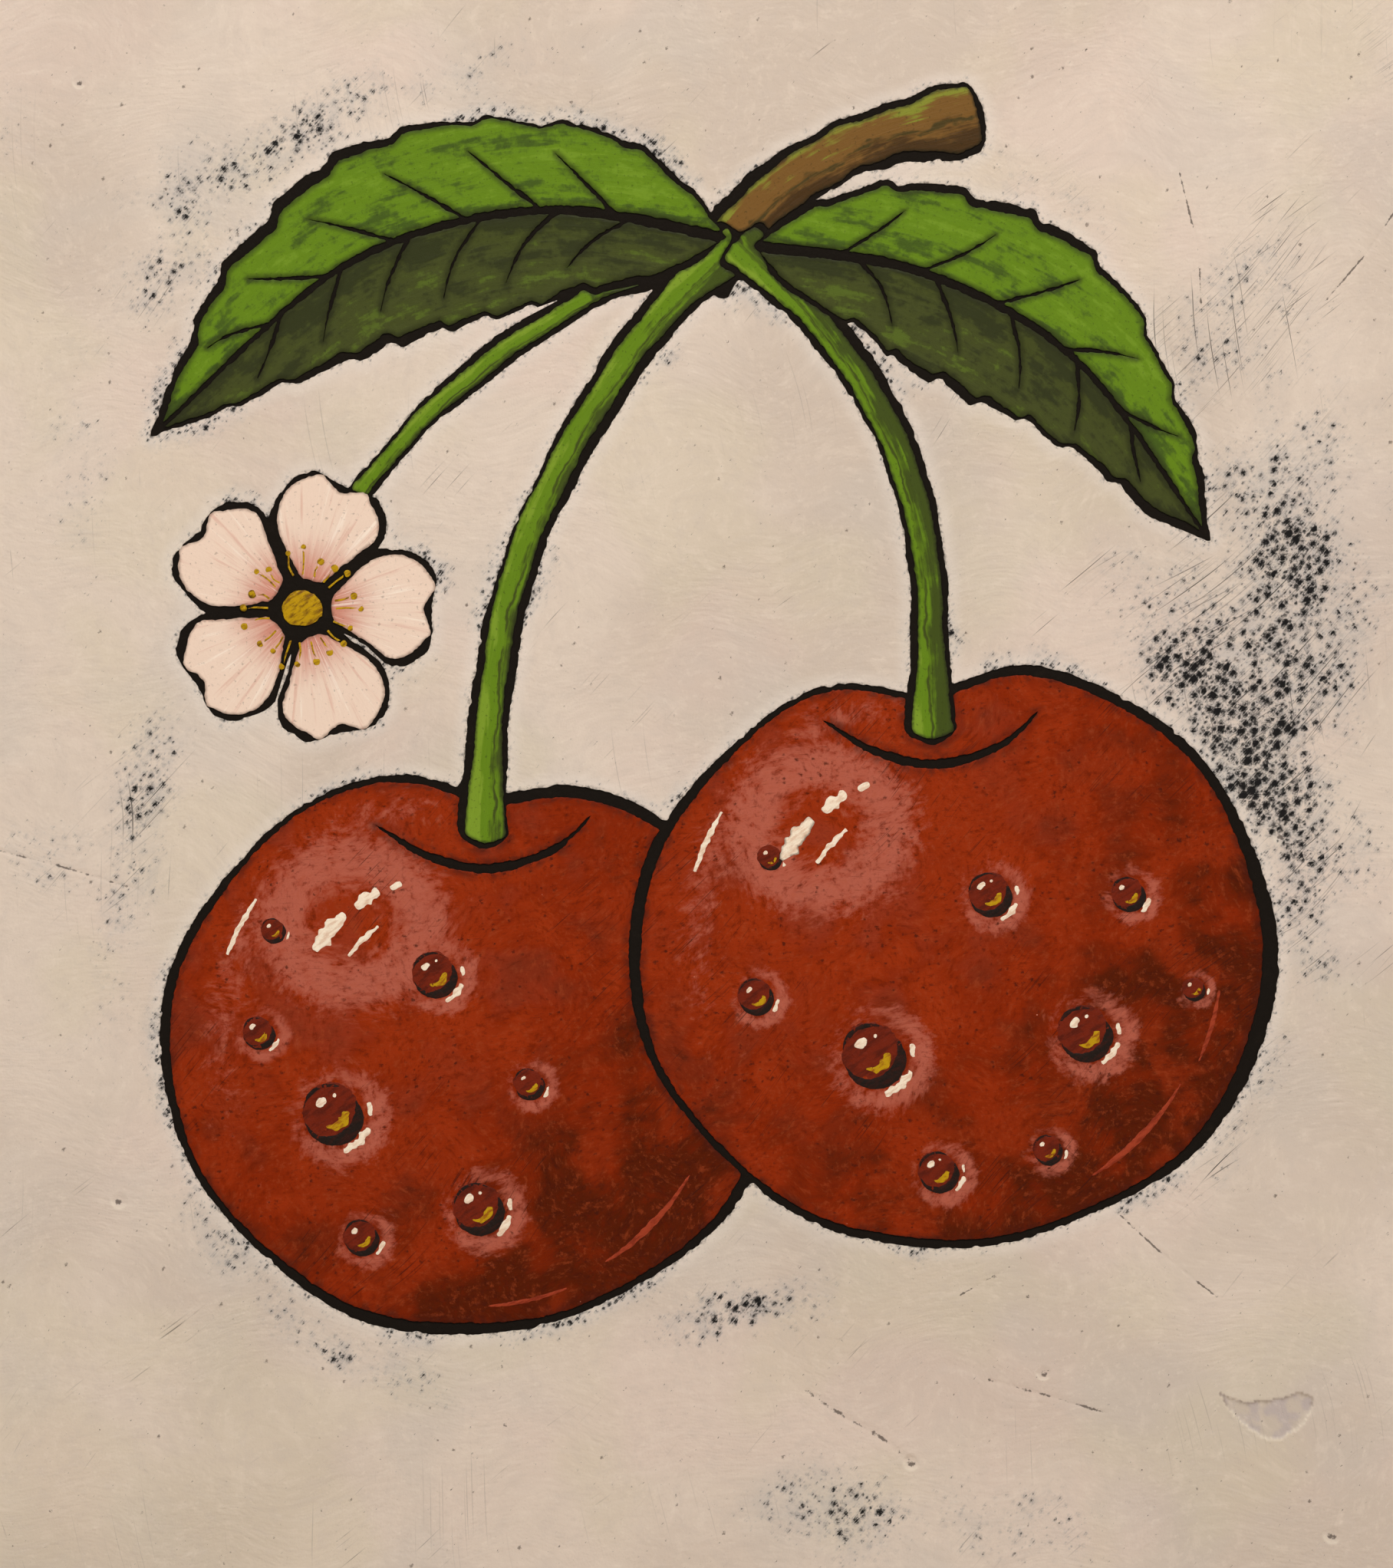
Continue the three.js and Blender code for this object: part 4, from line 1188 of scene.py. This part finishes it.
class PANEL_OT_greens(bpy.types.Operator):
    """Lay the stems, the stalk, the leaves and the twig"""

    bl_idname = "painted_panel.greens"
    bl_label = "Stems, leaves and twig"

    def execute(self, context):
        for seed, (stem, half_width) in enumerate(
                (("stem_left", 1.9), ("stem_right", 1.9), ("blossom_stalk", 1.2)), 31):
            green = stem_finish(f"{stem}_green", half_width, "leaf", (60, 70, 24), -1)
            lay_stroke(stem, stem, green, "leaf_green_paint", seed)
        for leaf, seed in (("leaf_left", 51), ("leaf_right", 57)):
            for half, slot, *paints in (
                    ("upper", "leaf_green_paint", "leaf", (62, 82, 24), (118, 150, 40)),
                    ("lower", "olive_paint", "olive", (46, 50, 22), (92, 112, 36))):
                node = f"{leaf}_{half}"
                lay_stroke(node, leaf, leaf_finish(f"{node}_green", *paints), slot, seed, 0.7)
        bark = stem_finish("twig_bark", 3.4, "bark", (64, 44, 20), 1)
        lay_stroke("twig", "twig", bark, "bark_paint", 71)
        return {"FINISHED"}


# ------------------------------------------------------------------------------ blossom

BLOSSOM_AT = Vector((-54, 24))
PETALS = 5
STAMENS = 20
STAMEN_START = 4.6  # millimetres from the blossom's centre


def petal_finish():
    f = Finish("petal_white")
    along, across, edge = f.attributes("along", "across", "edge")
    veins = f.joined(along, across).noise((16, 0.7), 4, 0.6)
    base = f.layers(
        "petal",
        ((along + veins.about(9)).step(11.5, 4, 0.85), (196, 112, 92)),
        (veins.step(0.56, 0.72, 0.5), (214, 160, 140)),
        (veins.step(0.42, 0.28, 0.6), (250, 236, 220)),
        (edge.step(0.5, 0.05, 0.55), (120, 84, 66)),
        (f.place.noise(0.6).step(0.64, 0.76, 0.4), (120, 92, 78)),
    )
    return f.done(base, 0.48, veins * 0.5 + f.place.noise(0.4) * 0.25)


# Millimetres that a dab's edge rises above its coat, that its back lies in it, and its rim.
DAB_RISE, DAB_SUNK, DAB_RIM = 0.03, 0.06, 0.06


def dab_finish(name, light, dark, size, roughness=0.4):
    """Thick paint from a loaded small brush."""
    f = Finish(name)
    swirl = f.place.noise((2.2 * size, 0.6 * size), 4, 0.6, 35)
    return f.done(f.layers(light, (swirl.step(0.42, 0.68), dark)), roughness, f.place.noise(0.45), 0.1)


def domed(height, spread=0.5):
    """The round top of a dab: low at its edge and full past the spread."""
    def relief(u, v, edge):
        return height * (1 - math.exp(-((edge / spread) ** 1.4))) + 0.02 * waver(u, v, 0.7, 2 / 0.7)
    return relief


def lay_dabs(name, loops, material, slot, height, pitch=0.42):
    """One piece of separate dabs on top of a coat."""
    film = settings().film / MM
    bm = film_of_paint(loops, pitch, domed(height), film + DAB_RISE, DAB_RIM, (), film - DAB_SUNK)
    add_piece(bm, name, material, slot)


class PANEL_OT_blossom(bpy.types.Operator):
    """Lay the five petals, the heart and the stamens of the blossom"""

    bl_idname = "painted_panel.blossom"
    bl_label = "Blossom"

    def execute(self, context):
        material = petal_finish()
        for index in range(PETALS):
            node = f"petal_{index + 1}"
            lay_coat(node, material, "petal_paint", film_relief(80 + index), 0.6, 80 + index, {
                "along": lambda u, v: (Vector((u, v)) - BLOSSOM_AT).length,
                "across": lambda u, v: 10 * math.atan2(v - BLOSSOM_AT.y, u - BLOSSOM_AT.x),
                "edge": edge_distances(node),
            })
        ochre = dab_finish("blossom_ochre", "ochre", (120, 82, 12), 0.9)
        lay_coat("blossom_heart", ochre, "ochre_paint", domed(0.1, 0.9), 0.5, 90)
        loops = []
        pick = random.Random(12)
        for index in range(STAMENS):
            turn = 2 * math.pi * (index + pick.uniform(-0.25, 0.25)) / STAMENS
            out = Vector((math.cos(turn), math.sin(turn)))
            bend = Vector((-out.y, out.x)) * pick.uniform(-0.4, 0.4)
            length = pick.uniform(6.4, 8.4)
            through = [BLOSSOM_AT + way for way in (
                out * STAMEN_START, out * (length + STAMEN_START) / 2 + bend, out * length)]
            loops.append(stroke_loop(through, (0.15, 0.13, 0.12), index, 0.03, 0.2))
            radius = pick.uniform(0.38, 0.55)
            tip = BLOSSOM_AT + out * (length + 0.35)
            loops.append(disc_loop(*tip, radius, radius, 0, index + 40, 0.08, 0.2))
        lay_dabs("blossom_stamens", loops, ochre, "ochre_paint", 0.06, 0.3)
        return {"FINISHED"}


# ------------------------------------------------------------------------------ highlights

BIG_DROP = 2.4  # radius above which a drop has two more dabs

def arc_stroke(centre, radius, start, end, count, *style):
    """A brush stroke along an arc about a centre, through that many points. Angles are in degrees."""
    turns = (math.radians(start + (end - start) * i / (count - 1)) for i in range(count))
    return stroke_loop([(centre[0] + radius * math.cos(turn), centre[1] + radius * math.sin(turn))
                        for turn in turns], *style)


def dew_loops(cherry):
    """The strokes of each dew drop: its dark body, shadow, ochre glow inside and pale dabs."""
    bodies, shadows, glows, dabs = [], [], [], []
    for seed, (du, dv, r) in enumerate(cherry.dew):
        at = (cherry.at[0] + du, cherry.at[1] + dv)
        rough = 0.05 + 0.04 * r

        def arc(reach, start, end, count, widths, later, *style):
            return arc_stroke(at, reach * r, start, end, count, widths, seed + later, rough, *style)

        bodies.append(disc_loop(*at, r, 1.08 * r, 10 * seed, seed, 2 * rough))
        shadows.append(arc(0.98, -160, 28, 7, (0.04, 0.1 * r, 0.2 * r, 0.25 * r, 0.2 * r, 0.04), 0))
        shadows.append(arc(0.98, 60, 175, 6, (0.03, 0.07 * r, 0.09 * r, 0.03), 9))
        glows.append(arc(0.52, -112, 8, 5, (0.04, 0.14 * r, 0.2 * r, 0.1 * r), 20, 0.2, 0.4))
        dabs.append(arc(0.52, 108, 160, 5, (0.12 * r, 0.17 * r, 0.16 * r, 0.12 * r), 40, 0.2, 0.5))
        dabs.append(arc(1.4, -72 + 6 * seed, -22 + 3 * seed, 7,
                        (0.07 * r, 0.11 * r, 0.14 * r, 0.13 * r, 0.08 * r), 60, 0.2, 0.9))
        if r > BIG_DROP:
            dabs.append(arc(1.38, -4, 16, 4, (0.05 * r, 0.09 * r, 0.07 * r), 80, 0.2, 0.9))
            spot = 0.08 * r
            dabs.append(disc_loop(at[0] + 0.12 * r, at[1] + 0.62 * r, spot, spot, 0, seed, rough, 0.2))
    return bodies, shadows, glows, dabs


def shine_loops(cherry):
    """The broken cream strokes of the main light, and the thin rose ones at the shaded edge."""
    lu, lv = (light - centre for light, centre in zip(cherry.light, cherry.at))
    reach, turn = math.hypot(lu, lv), math.degrees(math.atan2(lv, lu))
    bright = [
        arc_stroke(cherry.at, radius, turn + start, turn + end, count, widths, seed, 0.14, 0.2, beads)
        for seed, (radius, start, end, count, widths, beads) in enumerate((
            (reach + 1.6, 15, 0, 8, (0.5, 0.95, 1.15, 1.0, 0.6), 0.6),
            (reach + 1.4, -4, -13, 6, (0.5, 0.8, 0.75, 0.45), 0.7),
            (reach + 0.9, -16.5, -20.5, 4, (0.4, 0.45, 0.35), 0.5),
            (reach - 2.6, 10, -6, 7, (0.22, 0.34, 0.4, 0.2), 0.9),
            (0.9 * cherry.radius, 26, 12, 8, (0.2, 0.34, 0.36, 0.18), 0.8),
        ))]
    rose = [
        arc_stroke(cherry.at, cherry.radius * 0.88, -58, -30, 8, (0.1, 0.42, 0.5, 0.3, 0.08), 6, 0.16),
        arc_stroke(cherry.at, cherry.radius * 0.9, *cherry.glint, 6, (0.08, 0.3, 0.32, 0.08), 7, 0.14),
    ]
    return bright, rose


class PANEL_OT_lights(bpy.types.Operator):
    """Paint the highlights and the dew on the cherries"""

    bl_idname = "painted_panel.lights"
    bl_label = "Highlights and dew"

    def execute(self, context):
        cream = dab_finish("cream_dabs", "highlight", (228, 196, 168), 0.8, 0.42)
        glow = dab_finish("ochre_glow", "ochre", (150, 84, 10), 0.7, 0.45)
        dark = dab_finish("dark_dabs", (30, 20, 14), (48, 20, 12), 1.0, 0.5)
        deep = dab_finish("deep_red_dabs", (112, 32, 8), (86, 24, 6), 1.6, 0.45)
        ember = dab_finish("ember_dabs", (158, 60, 32), (128, 42, 18), 1.0, 0.5)
        for name, cherry in CHERRIES.items():
            bodies, shadows, glows, dabs = dew_loops(cherry)
            bright, rose = shine_loops(cherry)
            lay_dabs(f"{name}_dew", bodies, deep, "red_paint", 0.0, 0.5)
            lay_dabs(f"{name}_dew_shadows", shadows, dark, "black_ground", 0.035)
            lay_dabs(f"{name}_dew_glow", glows, glow, "ochre_paint", 0.05, 0.3)
            lay_dabs(f"{name}_shine", bright + dabs, cream, "petal_paint", 0.08, 0.3)
            lay_dabs(f"{name}_edge_light", rose, ember, "red_paint", 0.01)
        return {"FINISHED"}


# ------------------------------------------------------------------------------ board, battens, hanger

RING_WIDTH = 2.6  # millimetres between the growth rings of the pine
SIDE_AT = 0.5  # millimetres in from the panel's sides where the paint carried over the edge is full
SHANK, POINT = 0.7 * MM, 1.5 * MM  # a nail's radius, and the length of its point
HEAD_AT = 0.4  # share of the plate's thickness at which the nails' heads sit


def eased_copy(node, easing):
    """A merged copy of a CAD solid with its sharp edges eased."""
    bm = bmesh.new()
    bm.from_mesh(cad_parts[node].data)
    bmesh.ops.remove_doubles(bm, verts=bm.verts, dist=MERGED)
    bmesh.ops.dissolve_limit(bm, angle_limit=math.radians(1), verts=bm.verts, edges=bm.edges)
    sharp = [e for e in bm.edges if len(e.link_faces) == 2 and e.calc_face_angle() > math.radians(30)]
    bmesh.ops.bevel(bm, geom=sharp, offset=easing, segments=2, profile=0.5, affect="EDGES", material=-1)
    return bm


def grain_finish(name, along_x):
    """Straight-grained pine. The grain runs along X or else along Z."""
    f = Finish(name, flat=False)
    turned = f.place.framed((1, 1), 0 if along_x else 90)
    bow = f.joined(y=turned.noise((120, 26), 2) * 13, z=turned.noise((90, 22), 2) * 12)
    bowed = f.value("ShaderNodeVectorMath", 0, {0: turned, 1: bow}, operation="ADD")
    lines = f.value("ShaderNodeTexWave", "Fac", {
        "Vector": bowed.framed((260, 1.0)), "Scale": 1 / RING_WIDTH, "Distortion": 0.5, "Detail": 1.0,
        "Detail Scale": 1.0}, bands_direction="DIAGONAL")
    fibre = turned.noise((22, 0.28), 4, 0.6)
    pores = turned.noise((4, 0.16), 2, 0.5)
    broad = turned.noise((60, 14), 3, 0.5)
    base = f.layers(
        "pine",
        (lines.step(0.3, 1.0) * broad.step(0.3, 0.7, 0.62, 0.3), "pine_line"),
        (fibre.step(0.5, 0.7, 0.4), "pine_line"),
        (broad.step(0.45, 0.7, 0.3), (190, 146, 98)),
        (pores.step(0.64, 0.76, 0.35), (132, 92, 56)),
    )
    height = fibre * 0.5 + lines * 0.25 + pores * -0.3
    return f.done(painted_over_edge(f, base), fibre.step(0.3, 0.7, 0.72, 0.55), height)


def painted_over_edge(f, base):
    """Black and cream that the brush carried over the front edge onto the sides."""
    right, up, forwards = f.place.parts()
    back = -GROUND_Y / MM - forwards
    on_side = (abs(right).step(HALF_WIDTH - SIDE_AT - 0.4, HALF_WIDTH - SIDE_AT)
               | abs(up).step(HALF_HEIGHT - SIDE_AT - 0.4, HALF_HEIGHT - SIDE_AT))
    black = f.place.noise((2.2, 2.2), 4, 0.6) * 3.2 + f.place.noise((14, 14), 2, 0.5) * 6.5 - 3.2
    cream = (f.place.noise((1.6, 1.6), 4, at=(70, 30)) * 2.6
             + f.place.noise((17, 17), 2, at=(30, 70)) * 4.0 - 3.0)
    return f.layers(
        base,
        ((black - back).step(-0.25, 0.25) * on_side, (34, 29, 25)),
        ((cream - back).step(-0.2, 0.2, 0.95) * on_side, "cream_shade"),
    )


def ply_finish():
    """The face board: birch veneer with a darker core that shows at its edges."""
    f = Finish("birch_board", flat=False)
    thick = (BOARD_HIGH.y - BOARD_LOW.y) / MM
    _right, _up, forwards = f.place.parts()
    level = forwards + BOARD_HIGH.y / MM + f.place.noise((9, 9), 2).about(0.25)
    core = level.step(thick * 0.28, thick * 0.34) * level.step(thick * 0.72, thick * 0.66, 0.75)
    fibre = f.place.noise((0.35, 16), 4, 0.6)
    base = f.layers(
        "birch",
        (f.place.noise((9, 46), 4, 0.6).step(0.48, 0.62, 0.45), (190, 152, 106)),
        (fibre.step(0.5, 0.7, 0.35), (172, 132, 88)),
        (core, (150, 108, 66)),
    )
    return f.done(painted_over_edge(f, base), fibre.step(0.3, 0.7, 0.7, 0.55), fibre * 0.6, 0.08)


class PANEL_OT_wood(bpy.types.Operator):
    """Ease the edges of the board and battens and give them their grain"""

    bl_idname = "painted_panel.wood"
    bl_label = "Board and battens"

    def execute(self, context):
        for side in ("top", "bottom", "left", "right"):
            node = f"batten_{side}"
            pine = grain_finish(f"{node}_pine", side in ("top", "bottom"))
            batten = eased_copy(node, wood_settings().easing)
            add_piece(batten, f"{node}_planed", pine, "batten_pine", [node])
        board = eased_copy("face_board", 0.3 * MM)
        add_piece(board, "face_board_sanded", ply_finish(), "board_wood", ["face_board"])
        return {"FINISHED"}


def zinc_finish(name, angle):
    f = Finish(name)
    brushed = f.place.noise((9, 0.12), 3, 0.6, angle)
    stain = f.place.noise(1.7, 4, 0.6)
    base = f.layers("zinc", (stain.step(0.5, 0.75, 0.5), (120, 114, 104)),
                    (brushed.step(0.5, 0.8, 0.3), (200, 198, 190)))
    return f.done(base, stain.step(0.3, 0.7, 0.48, 0.3), brushed, 0.02, METAL_SHEEN, 1.0)


def turned_nail(node, seat):
    """A nail of revolution with a domed head, which sits at that height in Y."""
    low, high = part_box(node)
    radius, rise = (high.x - low.x) / 2, high.y - seat
    profile = [(0, low.y), (SHANK, low.y + POINT), (SHANK, seat), (radius * 0.94, seat),
               (radius, seat + rise * 0.18), (radius * 0.98, seat + rise * 0.4)]
    profile += [(radius * math.cos(a), seat + rise * (0.4 + 0.6 * math.sin(a))) for a in (0.5, 0.9, 1.25)]
    bm = bmesh.new()
    verts = [bm.verts.new((r, y, 0)) for r, y in (*profile, (0, high.y))]
    edges = [bm.edges.new(pair) for pair in zip(verts, verts[1:])]
    bmesh.ops.spin(bm, geom=verts + edges, cent=(0, 0, 0), axis=(0, 1, 0), angle=2 * math.pi, steps=32,
                   use_merge=True)
    bmesh.ops.remove_doubles(bm, verts=bm.verts, dist=MERGED)
    bmesh.ops.recalc_face_normals(bm, faces=bm.faces)
    bmesh.ops.translate(bm, verts=bm.verts, vec=((low.x + high.x) / 2, 0, (low.z + high.z) / 2))
    for face in bm.faces:
        face.smooth = True
    return bm


class PANEL_OT_hanger(bpy.types.Operator):
    """Round the edges of the sawtooth hanger and turn its nails with domed heads"""

    bl_idname = "painted_panel.hanger"
    bl_label = "Hanger and nails"

    def execute(self, context):
        plate, zinc = eased_copy("hanger_plate", 0.12 * MM), zinc_finish("hanger_zinc", 0)
        add_piece(plate, "hanger_plate_pressed", zinc, "hanger_steel", ["hanger_plate"])
        steel = zinc_finish("nail_zinc", 30)
        low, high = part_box("hanger_plate")
        for side in ("left", "right"):
            node = f"hanger_nail_{side}"
            nail = turned_nail(node, low.y + (high.y - low.y) * HEAD_AT)
            add_piece(nail, f"{node}_domed", steel, "hanger_steel", [node])
        return {"FINISHED"}


# ------------------------------------------------------------------------------ stage

VIEW_HEIGHT = 214.6 * MM
CAMERA_DISTANCE = 1.2
SENSOR = 36  # millimetres
FLOOR_GAP = 0.5 * MM
AMBIENT, AMBIENT_STRENGTH = (1.0, 0.98, 0.95, 1), 0.1
# Lights: place, how far above the panel's centre each aims, size, power and tint.
LIGHTS = {
    "ceiling_light": ((0.03, -0.72, 0.6), 0.03, (0.5, 0.3), 7.9, (1.0, 0.965, 0.93)),
    "left_fill": ((-1.1, -0.75, -0.1), 0, (0.7, 0.9), 2.8, (1.0, 0.98, 0.96)),
    "right_fill": ((1.1, -0.8, -0.3), 0, (0.7, 0.9), 4.1, (1.0, 0.98, 0.96)),
    "back_light": ((0.4, 1.4, 0.5), 0, (0.9, 0.9), 16, (1.0, 0.97, 0.94)),
}


def placed(name, data, place, target):
    """Puts a light or a camera in the scene, looking at the target."""
    thing = bpy.data.objects.new(name, data)
    bpy.context.scene.collection.objects.link(thing)
    thing.location = place
    thing.rotation_euler = (target - Vector(place)).to_track_quat("-Z", "Y").to_euler()
    return thing


class PANEL_OT_stage(bpy.types.Operator):
    """Set the floor, the soft lights and the camera that looks straight at the picture"""

    bl_idname = "painted_panel.stage"
    bl_label = "Stage"

    def execute(self, context):
        scene = context.scene
        centre = Vector((0, GROUND_Y, CENTRE_Z))
        bm = bmesh.new()
        bmesh.ops.create_grid(bm, x_segments=1, y_segments=1, size=3)
        bmesh.ops.translate(bm, verts=bm.verts, vec=(0, 0, BOARD_LOW.z - FLOOR_GAP))
        mesh = bpy.data.meshes.new("studio_floor")
        bm.to_mesh(mesh)
        bm.free()
        f = Finish("floor_paper")
        mesh.materials.append(f.done(f.layers((226, 224, 220), (f.place.noise(40), (234, 232, 229))), 0.8))
        floor = bpy.data.objects.new("studio_floor", mesh)
        scene.collection.objects.link(floor)

        scene.world = bpy.data.worlds.new("studio")
        scene.world.use_nodes = True
        background = scene.world.node_tree.nodes["Background"]
        background.inputs["Color"].default_value = AMBIENT
        background.inputs["Strength"].default_value = AMBIENT_STRENGTH
        for name, (place, above, size, power, tint) in LIGHTS.items():
            light = bpy.data.lights.new(name, "AREA")
            light.shape = "RECTANGLE"
            light.size, light.size_y = size
            light.energy = power
            light.color = tint
            placed(name, light, place, centre + Vector((0, 0, above)))
        scene.view_settings.view_transform = "Standard"

        camera = bpy.data.cameras.new("camera")
        camera.sensor_fit = "VERTICAL"
        camera.sensor_height = SENSOR
        camera.lens = SENSOR * CAMERA_DISTANCE / VIEW_HEIGHT
        camera.clip_end = 20
        scene.camera = placed("camera", camera, centre - Vector((0, CAMERA_DISTANCE, 0)), centre)
        return {"FINISHED"}


# ------------------------------------------------------------------------------ add-on


OPERATORS = (
    PANEL_OT_stage,
    PANEL_OT_ground,
    PANEL_OT_cream,
    PANEL_OT_cherries,
    PANEL_OT_greens,
    PANEL_OT_blossom,
    PANEL_OT_lights,
    PANEL_OT_wood,
    PANEL_OT_hanger,
)


class PANEL_PT_painted(bpy.types.Panel):
    """Steps and settings of the painted panel"""

    bl_idname = "PANEL_PT_painted"
    bl_label = "Painted Panel"
    bl_space_type = "VIEW_3D"
    bl_region_type = "UI"
    bl_category = "Painted Panel"

    def draw(self, context):
        for operator in OPERATORS:
            self.layout.operator(operator.bl_idname)
        for group in (settings(), wood_settings()):
            for name in group.bl_rna.properties.keys():
                if name not in ("rna_type", "name"):
                    self.layout.prop(group, name)


CLASSES = (PaintSettings, WoodSettings, *OPERATORS, PANEL_PT_painted)


def register():
    for cls in CLASSES:
        bpy.utils.register_class(cls)
    bpy.types.Scene.painted_panel_paint = bpy.props.PointerProperty(type=PaintSettings)
    bpy.types.Scene.painted_panel_wood = bpy.props.PointerProperty(type=WoodSettings)


def unregister():
    del bpy.types.Scene.painted_panel_wood
    del bpy.types.Scene.painted_panel_paint
    for cls in reversed(CLASSES):
        bpy.utils.unregister_class(cls)


def main():
    register()
    for operator in OPERATORS:
        group, name = operator.bl_idname.split(".")
        getattr(getattr(bpy.ops, group), name)()


if __name__ == "__main__":
    main()
